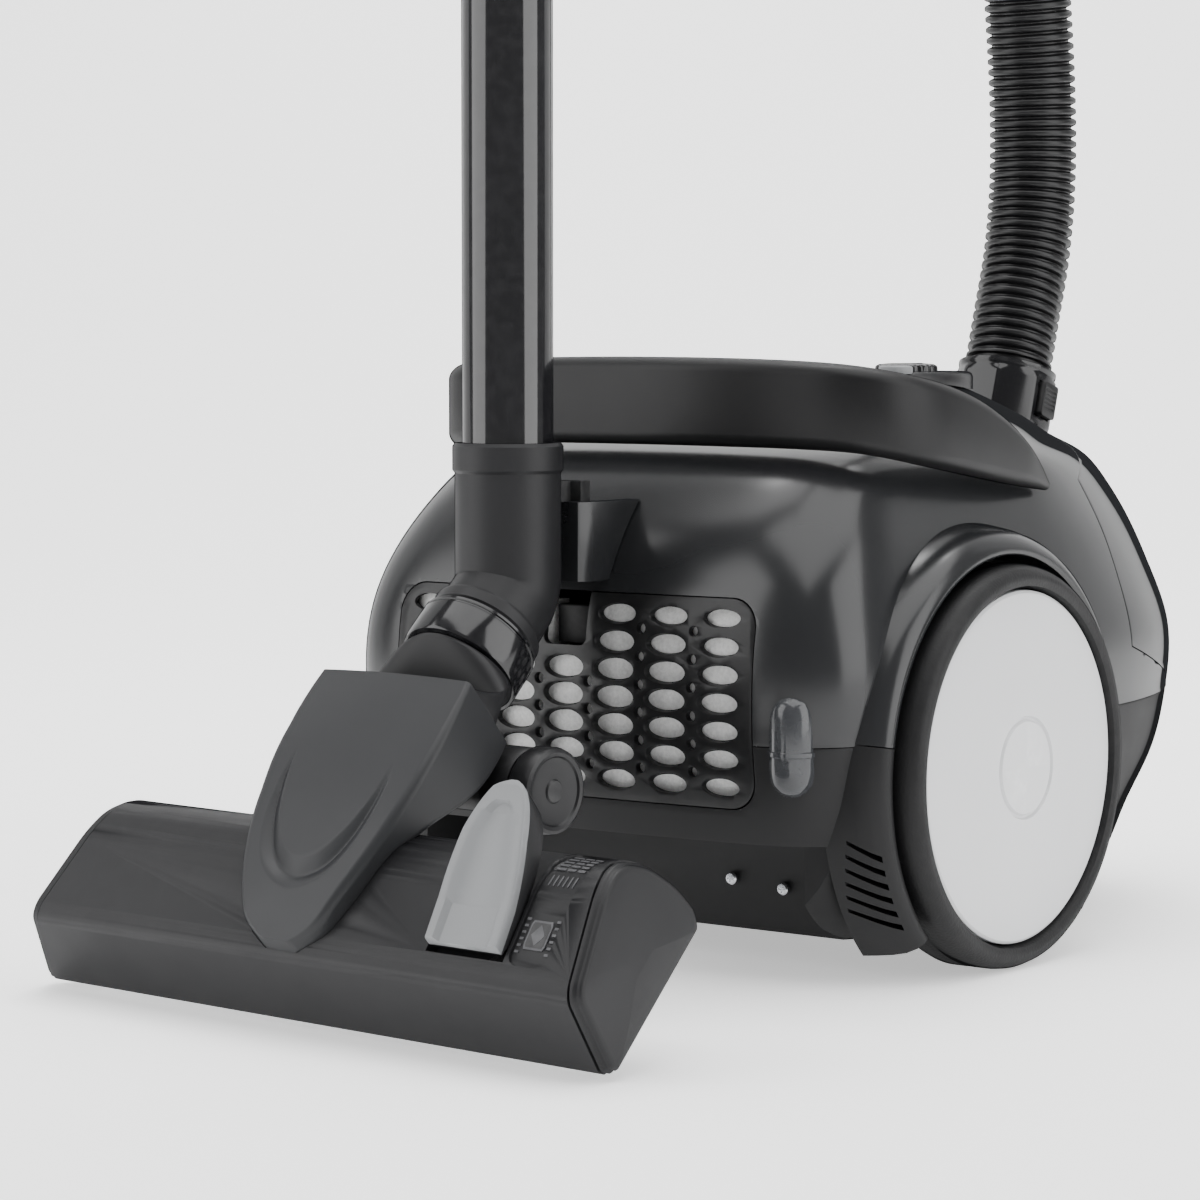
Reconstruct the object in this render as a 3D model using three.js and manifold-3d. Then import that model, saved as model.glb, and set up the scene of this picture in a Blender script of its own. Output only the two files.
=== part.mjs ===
// Canister vacuum cleaner with its wand parked upright at the rear and the floor nozzle hanging from it.
// Millimetres, +Z up, +Y towards the front of the canister, +X towards its right-hand wheel.
// Geometry is laid out with Y = 0 over the rear axle, then shifted so the origin is under the middle.
import * as THREE from "three";
import { mergeVertices } from "three/addons/utils/BufferGeometryUtils.js";
import Module from "manifold-3d";

const wasm = await Module();
wasm.setup();

// ---- Driving dimensions ----
const MIDDLE_SHIFT = [-1.7, 19, 0];
const GAP = 0.4;
const WALL = 3;
const WAIST_Y = 60;
const SEAM_Z = 96;

// Plan of the canister at a height: half width, rear and nose reach, rear corner radius, nose fullness.
const LOWER = [
  { z: 15, side: 100, rear: 74, corner: 30, nose: 205, power: 2 },
  { z: 22, side: 107, rear: 86, corner: 32, nose: 218, power: 2 },
  { z: 45, side: 114, rear: 101, corner: 32, nose: 239, power: 2 },
  { z: 70, side: 121, rear: 111, corner: 32, nose: 254, power: 2.1 },
  { z: SEAM_Z, side: 124, rear: 115, corner: 32, nose: 262, power: 2.15 },
];
const UPPER = [
  { z: SEAM_Z, side: 124, rear: 115, corner: 32, nose: 262, power: 2.15 },
  { z: 125, side: 125, rear: 115, corner: 32, nose: 262, power: 2.15 },
  { z: 150, side: 121, rear: 111, corner: 32, nose: 259, power: 1.95 },
  { z: 171, side: 115, rear: 101, corner: 33, nose: 254, power: 1.8 },
  { z: 188, side: 108, rear: 88, corner: 33, nose: 249, power: 1.65 },
  { z: 200, side: 102, rear: 74, corner: 33, nose: 238, power: 1.55 },
  { z: 207, side: 94, rear: 58, corner: 33, nose: 219, power: 1.5 },
  { z: 214, side: 82, rear: 30, corner: 32, nose: 198, power: 1.6 },
  { z: 221, side: 66, rear: 0, corner: 30, nose: 181, power: 1.7 },
  { z: 227, side: 48, rear: -18, corner: 26, nose: 167, power: 1.8 },
  { z: 231, side: 30, rear: -36, corner: 20, nose: 154, power: 2 },
  { z: 233, side: 18, rear: -42, corner: 14, nose: 144, power: 2 },
];
const REAR_BULGE = 4;

const WHEEL_Z = 81;
const TYRE_R = 81;
const DISC_R = 71;
const WHEEL_IN = 114;
const WHEEL_OUT = 141;
const WELL_R = 84.5;
const WELL_IN = 107;
const ARCH = { out: 133, thick: 10.5, foot: 16 };

const CASTER_Y = 175;
const CASTER_TRAIL = 14;
const CASTER_R = 17;

const GRILLE = {
  halfWidth: 88, low: 71, high: 152, corner: 12, rows: 7, topRow: 144.5, pitchX: 24.3, pitchZ: 10.9,
};
const INLET = { y: 207, z: 204.5, lean: THREE.MathUtils.degToRad(17) };

const WAND_Y = -154;
const WAND_R = 17.6;
const UPPER_TUBE_R = 15;
const NECK_R = 20.7;
const WAND_FOOT_Z = 212;
const SLEEVE_Z = 690;
const GRIP_Z = 762;
const NECK_TURN = { z: 154, slope: THREE.MathUtils.degToRad(43) };

const HEAD = { x: 0, y: -270, z: 0.6, yaw: -4.4, pitch: 39.5 };
const CAP = 5;
// Half length of the head at a distance u behind its front edge, along the sole and at the top (n = 52).
const HEAD_ENDS = [
  { u: -4, sole: 148.2, top: 141.5 }, { u: 28, sole: 148.6, top: 135 },
  { u: 50, sole: 146.5, top: 130.5 }, { u: 80, sole: 139.5, top: 121 },
];
const END_LEAN = 0.2;
const BARREL = { u: 114, n: 14.5, r: 11, rollerR: 16.5, in: 38.4, out: 50 };
const PEDAL_X = 93;
const RING_END = 42;
const BAR_U = 118.8;

// ---- Materials ----
const paint = (color, roughness, metalness = 0) =>
  new THREE.MeshStandardMaterial({ color, roughness, metalness });
const GLOSS = () => paint(0x232427, 0.18);
const MATTE = () => paint(0x1b1c1e, 0.62);
const SATIN = () => paint(0x2a2b2e, 0.4);
const RUBBER = () => paint(0x161617, 0.85);
const SILVER = () => paint(0xc9cbcd, 0.35, 0.15);
const STEEL = () => paint(0xb7babd, 0.28, 0.95);
const PEDAL_GREY = () => paint(0xa3a5a7, 0.45);

// ---- Solid helpers ----
// A watertight manifold from a three.js geometry.
function toSolid(geometry) {
  const flat = geometry.index ? geometry.toNonIndexed() : geometry;
  const bare = new THREE.BufferGeometry();
  bare.setAttribute("position", flat.getAttribute("position"));
  const merged = mergeVertices(bare, 1e-4);
  const vertProperties = new Float32Array(merged.getAttribute("position").array);
  const triVerts = new Uint32Array(merged.index.array);
  return new wasm.Manifold(new wasm.Mesh({ numProp: 3, vertProperties, triVerts }));
}

function toGeometry(solid) {
  const mesh = solid.getMesh();
  const indexed = new THREE.BufferGeometry();
  indexed.setAttribute("position", new THREE.BufferAttribute(new Float32Array(mesh.vertProperties), 3));
  indexed.setIndex(new THREE.BufferAttribute(new Uint32Array(mesh.triVerts), 1));
  const geometry = indexed.toNonIndexed();
  geometry.computeVertexNormals();
  return geometry;
}

// A closed solid through rings of equal point count, fanned shut at both ends.
function loft(rings) {
  const count = rings[0].length;
  const points = rings.flat();
  const triangles = [];
  for (let i = 0; i + 1 < rings.length; i += 1) {
    for (let j = 0; j < count; j += 1) {
      const a = i * count + j;
      const b = i * count + ((j + 1) % count);
      triangles.push([a, b, b + count], [a, b + count, a + count]);
    }
  }
  const middle = (ring) => {
    const sum = ring.reduce((t, p) => [t[0] + p[0], t[1] + p[1], t[2] + p[2]], [0, 0, 0]);
    return sum.map((v) => v / ring.length);
  };
  const last = (rings.length - 1) * count;
  points.push(middle(rings[0]), middle(rings[rings.length - 1]));
  for (let j = 0; j < count; j += 1) {
    const next = (j + 1) % count;
    triangles.push([points.length - 2, next, j], [points.length - 1, last + j, last + next]);
  }
  const build = (list) => {
    const geometry = new THREE.BufferGeometry();
    geometry.setAttribute("position", new THREE.Float32BufferAttribute(points.flat(), 3));
    geometry.setIndex(list.flat());
    return toSolid(geometry);
  };
  const solid = build(triangles);
  return solid.volume() > 0 ? solid : build(triangles.map((t) => [t[0], t[2], t[1]]));
}

// A closed outline of 2-D points, given depth along +Z.
function plate(points, low, high, holes = []) {
  const shape = new THREE.Shape(points.map(([x, y]) => new THREE.Vector2(x, y)));
  for (const hole of holes) {
    shape.holes.push(new THREE.Path(hole.map(([x, y]) => new THREE.Vector2(x, y))));
  }
  const geometry = new THREE.ExtrudeGeometry(shape, { depth: high - low, bevelEnabled: false });
  geometry.translate(0, 0, low);
  return toSolid(geometry);
}

// The same outline given as (y, z) and run along X, or as (x, z) and run along Y.
const alongX = (points, low, high) => plate(points, low, high).rotate([90, 0, 90]);
const alongY = (points, low, high) => plate(points, -high, -low).rotate([90, 0, 0]);

function box(x0, x1, y0, y1, z0, z1) {
  return plate([[x0, y0], [x1, y0], [x1, y1], [x0, y1]], z0, z1);
}

function oval(rx, ry, steps = 24, cx = 0, cy = 0) {
  return Array.from({ length: steps }, (_, i) => {
    const t = (i / steps) * Math.PI * 2;
    return [cx + rx * Math.cos(t), cy + ry * Math.sin(t)];
  });
}

function roundedBox(halfX, halfY, r, cx = 0, cy = 0) {
  const points = [];
  for (const [sx, sy, from] of [[1, 1, 0], [-1, 1, 1], [-1, -1, 2], [1, -1, 3]]) {
    for (let i = 0; i <= 4; i += 1) {
      const t = ((from + i / 4) * Math.PI) / 2;
      points.push([cx + sx * (halfX - r) + r * Math.cos(t), cy + sy * (halfY - r) + r * Math.sin(t)]);
    }
  }
  return points;
}

// A turned body from (radius, height) pairs that start and end on the axis or close on themselves.
function turned(profile, steps = 40) {
  const points = profile.map(([r, z]) => new THREE.Vector2(r, z));
  const closed = profile[0][0] > 0;
  if (closed) points.push(points[0].clone());
  const geometry = new THREE.LatheGeometry(points, steps);
  geometry.rotateX(Math.PI / 2);
  const solid = toSolid(geometry);
  if (solid.volume() > 0) return solid;
  const flipped = new THREE.LatheGeometry([...points].reverse(), steps);
  flipped.rotateX(Math.PI / 2);
  return toSolid(flipped);
}

const rod = (r, low, high, steps = 32) => turned([[0, low], [r, low], [r, high], [0, high]], steps);
const pipe = (outer, inner, low, high, steps = 40) =>
  turned([[inner, low], [outer, low], [outer, high], [inner, high]], steps);
const ball = (r, steps) => {
  const arc = Array.from({ length: 13 }, (_, i) => (i / 12 - 0.5) * Math.PI);
  return turned(arc.map((t) => [Math.max(0, r * Math.cos(t)), r * Math.sin(t)]), steps);
};
const lyingX = (solid) => solid.rotate([0, 90, 0]);
const lyingY = (solid) => solid.rotate([90, 0, 0]);
const union = (...solids) => solids.reduce((sum, s) => sum.add(s));

// A round tube or bar along a smooth curve.
function curved(points, radius, steps, sides = 12) {
  const curve = new THREE.CatmullRomCurve3(points.map((p) => new THREE.Vector3(...p)), false, "centripetal");
  const shape = new THREE.Shape(oval(radius, radius, sides).map(([x, y]) => new THREE.Vector2(x, y)));
  const geometry = new THREE.ExtrudeGeometry(shape, { steps, extrudePath: curve, bevelEnabled: false });
  return toSolid(geometry);
}

// ---- Groups and placing ----
const root = new THREE.Group();
root.name = "canister_vacuum";
const machine = new THREE.Group();
machine.name = "machine";
machine.position.set(...MIDDLE_SHIFT);
root.add(machine);

const inlet = new THREE.Group();
inlet.name = "inlet_frame";
inlet.position.set(0, INLET.y, INLET.z);
inlet.rotation.x = -INLET.lean;
machine.add(inlet);

const neck = new THREE.Group();
neck.name = "neck_frame";
neck.position.set(0, WAND_Y, NECK_TURN.z);
neck.rotation.x = Math.PI / 2 + NECK_TURN.slope;
machine.add(neck);

const head = new THREE.Group();
head.name = "head_frame";
head.position.set(HEAD.x, HEAD.y, HEAD.z);
head.rotation.set(
  THREE.MathUtils.degToRad(HEAD.pitch), 0, THREE.MathUtils.degToRad(HEAD.yaw), "ZYX",
);
machine.add(head);

function piece(name, solid, material, parent = machine) {
  const mesh = new THREE.Mesh(toGeometry(solid), material);
  mesh.name = name;
  parent.add(mesh);
  return mesh;
}

// ---- Canister body ----
function planLoop(section, grow, lift = 0) {
  const side = section.side + grow;
  const rear = section.rear + grow;
  const nose = section.nose + grow;
  const corner = section.corner + grow;
  const half = [];
  for (let i = 0; i <= 14; i += 1) {
    const t = (i / 14) * (Math.PI / 2);
    const x = side * Math.max(0, Math.sin(t)) ** (2 / section.power);
    const y = WAIST_Y + (nose - WAIST_Y) * Math.max(0, Math.cos(t)) ** (2 / section.power);
    half.push([x, y]);
  }
  for (let i = 0; i <= 6; i += 1) {
    const t = (i / 6) * (Math.PI / 2);
    half.push([side - corner + corner * Math.cos(t), corner - rear - corner * Math.sin(t)]);
  }
  for (let i = 1; i <= 4; i += 1) {
    const s = 1 - i / 4;
    half.push([(side - corner) * s, -rear - REAR_BULGE * (1 - s * s)]);
  }
  const mirrored = half.slice(1, -1).reverse().map(([x, y]) => [-x, y]);
  return [...half, ...mirrored].map(([x, y]) => [x, y, section.z + lift]);
}

const bodyOf = (sections, grow, lift = 0) => loft(sections.map((s) => planLoop(s, grow, lift)));
const WHOLE_BODY = [...LOWER, ...UPPER.slice(1)];

const bothSides = (make) => union(make(1), make(-1));
const wells = (r, inner) =>
  bothSides((s) => lyingX(rod(r, 0, 60, 44)).translate([s > 0 ? inner : -inner - 60, 0, WHEEL_Z]));
const grilleHole = (grow) => {
  const halfHeight = (GRILLE.high - GRILLE.low) / 2;
  const centre = (GRILLE.high + GRILLE.low) / 2;
  return alongY(roundedBox(GRILLE.halfWidth + grow, halfHeight + grow, GRILLE.corner, 0, centre), -140, -90);
};
const axleHoles = () => lyingX(rod(6.4, -128, 128, 24)).translate([0, 0, WHEEL_Z]);

// Raised lips around the wheel arches, between two heights.
function archLips(low, high) {
  const lip = turned([
    [WELL_R, WELL_IN], [WELL_R + ARCH.thick + 2, WELL_IN], [WELL_R + ARCH.thick, ARCH.out - 12],
    [WELL_R + ARCH.thick * 0.5, ARCH.out - 2], [WELL_R + 1.5, ARCH.out], [WELL_R, ARCH.out - 1],
  ], 44);
  const right = lyingX(lip).translate([0, 0, WHEEL_Z]);
  return right.add(right.mirror([1, 0, 0])).intersect(box(-150, 150, -120, 120, low, high));
}

// The open space under the rear end, wider behind the wheels.
const recess = (grow) =>
  box(-95 - grow, 95 + grow, -140, -60 + grow, 0, 57 + grow)
    .add(box(-110 - grow, 110 + grow, -140, -89 + grow, 0, 57 + grow));

function baseShell() {
  const outer = bodyOf(LOWER, 0).add(archLips(ARCH.foot, SEAM_Z));
  const inner = [...LOWER.slice(0, 4), { ...LOWER[4], z: SEAM_Z + 20 }];
  const cavity = loft(inner.map((s, i) => planLoop(s, -WALL, i ? 0 : WALL)))
    .subtract(wells(WELL_R + WALL, WELL_IN - WALL))
    .subtract(recess(3))
    .subtract(rod(40, 0, 50, 40).translate([0, CASTER_Y, 0]));
  return outer
    .subtract(cavity)
    .subtract(wells(WELL_R, WELL_IN))
    .subtract(recess(0))
    .subtract(rod(37, 0, 47, 40).translate([0, CASTER_Y, 0]))
    .subtract(rod(5.4, 0, 60, 20).translate([0, CASTER_Y, 0]))
    .subtract(grilleHole(GAP))
    .subtract(axleHoles());
}

// Side view of the dust cover: seam up the flank, over the nose and back along the lower edge.
const LID_OUTLINE = [[186, 260], [186, 214], [112, 191], [120, 120], [205, 97], [300, 97], [300, 260]];
const lidRegion = () => alongX(LID_OUTLINE, -160, 160);
const lidNotch = (grow) => box(-31 - grow, 31 + grow, 90, 242 + grow, 150, 260);

function upperShell() {
  const inner = UPPER.map((s, i) => planLoop(s, -WALL, i ? -WALL * 0.9 : -30));
  return bodyOf(UPPER, 0)
    .add(archLips(SEAM_Z, 200))
    .subtract(loft(inner).subtract(wells(WELL_R + WALL, WELL_IN - WALL)))
    .subtract(wells(WELL_R, WELL_IN));
}

function inletBore(r) {
  const lean = THREE.MathUtils.radToDeg(-INLET.lean);
  return rod(r, -60, 60, 40).rotate([lean, 0, 0]).translate([0, INLET.y, INLET.z]);
}

function upperHousing() {
  const lidWithGap = lidRegion().subtract(lidNotch(-GAP));
  return upperShell()
    .subtract(lidWithGap)
    .subtract(grilleHole(GAP))
    .subtract(inletBore(27.4))
    .subtract(rod(5.4, 200, 260, 20).translate([0, 130, 0]))
    .translate([0, 0, GAP]);
}

function lidSolid() {
  const shrunk = LID_OUTLINE.map(([y, z]) => [y + (y < 250 ? GAP : 0), z + (z < 130 ? GAP : 0)]);
  const region = alongX(shrunk, -160, 160);
  return upperShell()
    .intersect(region)
    .subtract(lidNotch(0))
    .subtract(box(-13.4, 13.4, 236, 262, 158, 178))
    .translate([0, 0, GAP]);
}

function grilleOpenings() {
  const cuts = [];
  for (const column of [-3, -2, -1, 0, 1, 2, 3]) {
    for (let row = column ? 0 : 2; row < GRILLE.rows; row += 1) {
      const z = GRILLE.topRow - row * GRILLE.pitchZ;
      cuts.push(alongY(oval(8.4, 3.4, 8, column * GRILLE.pitchX, z), -140, -90));
    }
  }
  cuts.push(alongY(roundedBox(11, 14, 3, 0, 145), -140, -90));
  return wasm.Manifold.union(cuts);
}

const filterPad = () => box(-83, 83, -130, -99, 75, 148).intersect(bodyOf(WHOLE_BODY, -WALL - 1));

function buildCanister() {
  piece("base_shell", baseShell(), MATTE());
  piece("upper_housing", upperHousing(), GLOSS());
  piece("dust_lid", lidSolid(), GLOSS());
  const panel = bodyOf(WHOLE_BODY, 0).subtract(bodyOf(WHOLE_BODY, -2.6)).intersect(grilleHole(0));
  piece("exhaust_grille", panel.subtract(grilleOpenings()), MATTE());
  piece("exhaust_filter", filterPad(), paint(0xd9dad6, 0.95));
  const lens = union(
    rod(9, 84, 106, 24),
    turned([[0, 106], [9, 106], [7.8, 110.5], [4.5, 113.8], [0, 115]], 24),
    turned([[0, 75], [4.5, 76.2], [7.8, 79.5], [9, 84], [0, 84]], 24),
  ).translate([102, -108, 2]);
  piece("corner_lens", lens.subtract(bodyOf(WHOLE_BODY, GAP)), paint(0x4a4c50, 0.15));
}

// ---- Carrying handle: a horseshoe band, deep at the rear and running out to points at the front ----
const HANDLE = [
  { x: 112, y: 63, low: 188.5, high: 193, thick: 6 },
  { x: 114, y: 42, low: 190.5, high: 208, thick: 12 },
  { x: 115, y: 15, low: 194, high: 222, thick: 14 },
  { x: 115.5, y: -16, low: 198.5, high: 232, thick: 14 },
  { x: 112, y: -40, low: 202.6, high: 237, thick: 14 },
  { x: 101, y: -56, low: 206.2, high: 240.4, thick: 14 },
  { x: 80, y: -62.5, low: 207.8, high: 242.4, thick: 14 },
  { x: 45, y: -65, low: 208.4, high: 243.6, thick: 14 },
  { x: 0, y: -66, low: 208.6, high: 244, thick: 14 },
];

function carryHandle() {
  const right = HANDLE.map((s) => ({ ...s }));
  const left = HANDLE.slice(0, -1).reverse().map((s) => ({ ...s, x: -s.x }));
  const path = [...right, ...left];
  const rings = path.map((s, i) => {
    const before = path[Math.max(0, i - 1)];
    const after = path[Math.min(path.length - 1, i + 1)];
    const along = new THREE.Vector2(after.x - before.x, after.y - before.y).normalize();
    const out = [-along.y, along.x].map((v) => -v);
    const middle = (s.low + s.high) / 2;
    return roundedBox(s.thick / 2, (s.high - s.low) / 2, Math.min(4, (s.high - s.low) / 2.2)).map(([a, b]) => [
      s.x + out[0] * a, s.y + out[1] * a, middle + b,
    ]);
  });
  return loft(rings).subtract(bodyOf(WHOLE_BODY, GAP, GAP + 0.2));
}

function buildTop() {
  piece("carry_handle", carryHandle(), MATTE());
  const island = plate(oval(31, 40, 36, 0, 122), 212, 236);
  const pockets = union(
    rod(14.8, 200, 260, 32).translate([0, 130, 0]),
    plate(oval(8.5, 6.5, 20, -15, 98), 200, 260),
    plate(oval(8.5, 6.5, 20, 15, 98), 200, 260),
  );
  const worn = island.subtract(bodyOf(WHOLE_BODY, GAP, GAP + 0.4)).subtract(pockets);
  piece("control_console", worn, SATIN());
  const knob = union(
    turned([[0, 234.2], [14.2, 234.2], [13.6, 238.4], [11, 239.6], [0, 239.6]], 32),
    rod(5, 224, 234.2, 20),
  );
  piece("power_knob", knob.translate([0, 130, 0]), paint(0x111113, 0.3));
  piece("power_button", plate(oval(8, 6, 20, 15, 98), 235.2, 239), PEDAL_GREY());
  piece("rewind_button", plate(oval(8, 6, 20, -15, 98), 235.2, 239), MATTE());
  const latch = box(-13, 13, 236, 262, 158.4, 177.6)
    .intersect(bodyOf(WHOLE_BODY, 1.2))
    .subtract(bodyOf(WHOLE_BODY, -2));
  piece("lid_latch", latch.translate([0, 0, GAP]), SATIN());
}

// ---- Running gear ----
function buildWheel(side) {
  const name = side > 0 ? "right" : "left";
  const place = (solid) => (side > 0 ? solid : solid.mirror([1, 0, 0])).translate([0, 0, WHEEL_Z]);
  const tyre = turned([
    [DISC_R + 0.4, WHEEL_IN], [TYRE_R - 3, WHEEL_IN], [TYRE_R, WHEEL_IN + 4], [TYRE_R, WHEEL_OUT - 6],
    [TYRE_R - 2, WHEEL_OUT - 1.5], [TYRE_R - 5, WHEEL_OUT], [DISC_R + 1.5, WHEEL_OUT - 1.5],
    [DISC_R + 0.4, WHEEL_OUT - 4],
  ], 48);
  piece(`tyre_${name}`, place(lyingX(tyre)), RUBBER());
  const disc = turned([
    [6.5, 111], [14, 111], [14, 133], [DISC_R - 1, 133], [DISC_R, 134], [DISC_R, 137.4],
    [DISC_R - 2, 139], [20, 141], [0, 141], [0, 131], [6.5, 131],
  ], 48);
  piece(`wheel_disc_${name}`, place(lyingX(disc)), SILVER());
  piece(`axle_${name}`, place(lyingX(rod(6, 97, 129, 24))), STEEL());
}

function buildCaster() {
  const wheelY = CASTER_Y - CASTER_TRAIL;
  const cheek = (x0, x1) =>
    alongX([[wheelY - 6, 11], [wheelY + 6, 11], [CASTER_Y + 14, 41], [CASTER_Y - 20, 41]], x0, x1);
  const fork = union(
    rod(24, 40.5, 45.8, 28).translate([0, CASTER_Y, 0]),
    rod(5, 45, 52, 20).translate([0, CASTER_Y, 0]),
    cheek(9.5, 13),
    cheek(-13, -9.5),
  ).subtract(lyingX(rod(3.4, -20, 20, 20)).translate([0, wheelY, CASTER_R]));
  piece("caster_fork", fork, MATTE());
  const tread = turned([[3.5, -8.6], [15, -8.6], [17, -6.4], [17, 6.4], [15, 8.6], [3.5, 8.6]], 24);
  piece("caster_wheel", lyingX(tread).translate([0, wheelY, CASTER_R]), RUBBER());
  piece("caster_axle", lyingX(rod(3, -12.5, 12.5, 16)).translate([0, wheelY, CASTER_R]), STEEL());
}

// ---- Inside the canister ----
function buildInside() {
  const motor = union(rod(44, -92, -6, 40), rod(30, -6, 12, 32)).rotate([-90, 0, 0]);
  piece("suction_motor", motor.translate([42, 0, 106]), STEEL());
  const reel = union(pipe(58, 20, -2, 1, 28), pipe(58, 20, 43, 46, 28), pipe(46, 20, 0, 44, 28));
  piece("cord_reel", lyingX(reel).translate([-76, -20, 114]), MATTE());
  piece("reel_spindle", lyingX(rod(18, -4, 50, 28)).translate([-76, -20, 114]), SATIN());
  const wall = box(-98, 98, 46, 50, 30, 190).intersect(bodyOf(WHOLE_BODY, -6));
  const wallPort = lyingY(rod(31, -80, 0, 32)).translate([42, 0, 106]);
  piece("bulkhead", wall.subtract(wallPort), MATTE());
  piece("motor_filter", lyingY(rod(38, -56, -50.6, 32)).translate([42, 0, 106]), paint(0xe2e2de, 0.95));
  const bagRings = [[60, 0.55], [68, 0.86], [100, 1], [150, 1], [185, 0.92], [200, 0.7]];
  const bagAt = ([y, f]) => roundedBox(78 * f, 62 * f, 22 * f).map(([x, z]) => [x, y, 116 + z]);
  piece("dust_bag", loft(bagRings.map(bagAt)), paint(0xd8cfb9, 0.9));
  piece("control_board", box(-40, 30, 20, 44, 192, 195), paint(0x2d4a38, 0.6));
  piece("screw_outer", lyingY(rod(2.6, 60.4, 63, 16)).translate([66, 0, 33]), STEEL());
  piece("screw_inner", lyingY(rod(2.6, 60.4, 63, 16)).translate([41, 0, 35]), STEEL());
}

// ---- Hose inlet, connector and hose ----
const HOSE_R = 20;
const HOSE_ROUTE = [
  [0, 216.9, 237.1], [0, 224, 260], [0, 233, 290], [0, 237.5, 322], [0, 237, 360], [0, 230, 420],
  [0, 216, 520], [0, 200, 640], [0, 180, 760], [0, 155, 880], [0, 118, 980], [0, 66, 1036],
  [0, 4, 1045], [0, -48, 1012], [0, -79.2, 984.7],
];

function buildHose() {
  piece("inlet_collar", pipe(27, 22.4, -16, 0, 40), SATIN(), inlet);
  const spout = union(
    turned([[18, -16], [22, -16], [22, 0.4], [18, 0.4]], 32),
    turned([[18, 0.4], [23, 0.4], [24, 6], [24, 28], [22, 33.4], [18, 33.4]], 16),
  );
  const pockets = bothSides((s) => box(s > 0 ? 19.4 : -27, s > 0 ? 27 : -19.4, -6.4, 6.4, 9.6, 26.4));
  piece("hose_connector", spout.subtract(pockets), paint(0x141416, 0.12), inlet);
  for (const s of [1, -1]) {
    const button = box(s > 0 ? 21.4 : -26, s > 0 ? 26 : -21.4, -6, 6, 10, 26);
    piece(s > 0 ? "connector_latch_right" : "connector_latch_left", button, MATTE(), inlet);
  }
  piece("hose", curved(HOSE_ROUTE, HOSE_R, 30, 12), RUBBER());
}

// ---- Wand and grip ----
function buildWand() {
  const at = (solid) => solid.translate([0, WAND_Y, 0]);
  const lower = pipe(WAND_R, 15.6, WAND_FOOT_Z - 18, SLEEVE_Z + 30, 48);
  piece("wand_lower_tube", at(lower), paint(0x1d1e20, 0.12, 0.6));
  const sleeve = pipe(22.5, 18, SLEEVE_Z, SLEEVE_Z + 44, 28)
    .add(pipe(22.5, 15.6, SLEEVE_Z + 31, SLEEVE_Z + 44, 28))
    .subtract(box(-6.4, 6.4, 10, 40, SLEEVE_Z + 5.6, SLEEVE_Z + 26.4));
  piece("wand_lock_sleeve", at(sleeve), MATTE());
  piece("wand_lock_button", at(box(-6, 6, 19.6, 25.6, SLEEVE_Z + 6, SLEEVE_Z + 26)), SATIN());
  piece("wand_upper_tube", at(pipe(UPPER_TUBE_R, 13, 250, GRIP_Z + 30, 40)), STEEL());
}

const GRIP_PATH = [[0, 0, 0], [0, 0, 60], [0, 4, 110], [0, 22, 160], [0, 49, 200], [0, 74, 222]];

function buildGrip() {
  const lift = (solid) => solid.translate([0, WAND_Y, GRIP_Z]);
  const body = curved(GRIP_PATH, 20, 11, 14);
  const socket = rod(UPPER_TUBE_R + GAP, -5, 30.4, 32);
  const loop = curved([[0, -12, 28], [0, -42, 52], [0, -50, 100], [0, -26, 160], [0, 22, 186]], 10, 11, 10);
  const slot = box(-8.4, 8.4, 12, 30, 69.6, 96.4);
  const grip = body.add(loop).subtract(socket).subtract(slot);
  piece("grip_handle", lift(grip), MATTE());
  piece("air_slider", lift(box(-8, 8, 12.4, 22.5, 70, 90)), SATIN());
}

// ---- Neck, parked on the rear of the canister ----
function buildNeck() {
  const socketBore = rod(WAND_R + GAP, WAND_FOOT_Z - 18.4, 260, 48).translate([0, WAND_Y, 0]);
  const upright = union(
    rod(NECK_R, NECK_TURN.z, WAND_FOOT_Z - 8, 32),
    turned([[0, 204], [NECK_R + 0.8, 204], [NECK_R + 0.8, 210], [19.4, 212], [0, 212]], 32),
    ball(NECK_R, 32).translate([0, 0, NECK_TURN.z]),
  ).translate([0, WAND_Y, 0]);
  const degrees = 90 + THREE.MathUtils.radToDeg(NECK_TURN.slope);
  const branch = union(rod(NECK_R, 0, 22, 32), rod(NECK_R + 2, 17, 24, 32))
    .rotate([degrees, 0, 0])
    .translate([0, WAND_Y, NECK_TURN.z]);
  piece("neck_elbow", upright.add(branch).subtract(socketBore), MATTE());
  const hook = union(box(-6, 6, -133.2, -116, 168, 196), box(-11, 11, -122, -116, 168, 196))
    .subtract(rod(NECK_R + GAP, 100, 300, 48).translate([0, WAND_Y, 0]));
  piece("parking_hook", hook.subtract(bodyOf(WHOLE_BODY, GAP, GAP)), MATTE());
  const channel = union(box(-6.5, 6.5, -140, -115, 150, 200), box(-11.5, 11.5, -122.5, -80, 150, 200));
  const socket = box(-18, 18, -130, -80, 157, 188)
    .subtract(channel.subtract(box(-20, 20, -140, -80, 100, 167.5)))
    .subtract(bodyOf(WHOLE_BODY, GAP, GAP));
  piece("parking_socket", socket, GLOSS());
  piece("swivel_ring", pipe(24, 17, 24.4, RING_END, 44), paint(0x121214, 0.1), neck);
}

// ---- Floor head; local y runs from the front edge to the rear, local z away from the floor ----
const HEAD_PROFILE = [
  [2, 0], [72, 0], [76, 5], [75, 18], [69, 34], [60, 45], [51, 49.5], [40, 49], [7, 39], [3, 35], [0, 3],
];
const HEAD_CAVITY = [[5, -1], [71, -1], [71.5, 18], [65, 32], [56, 42], [50, 45.5], [40, 45], [9, 35.5], [6.5, 33]];

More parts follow.
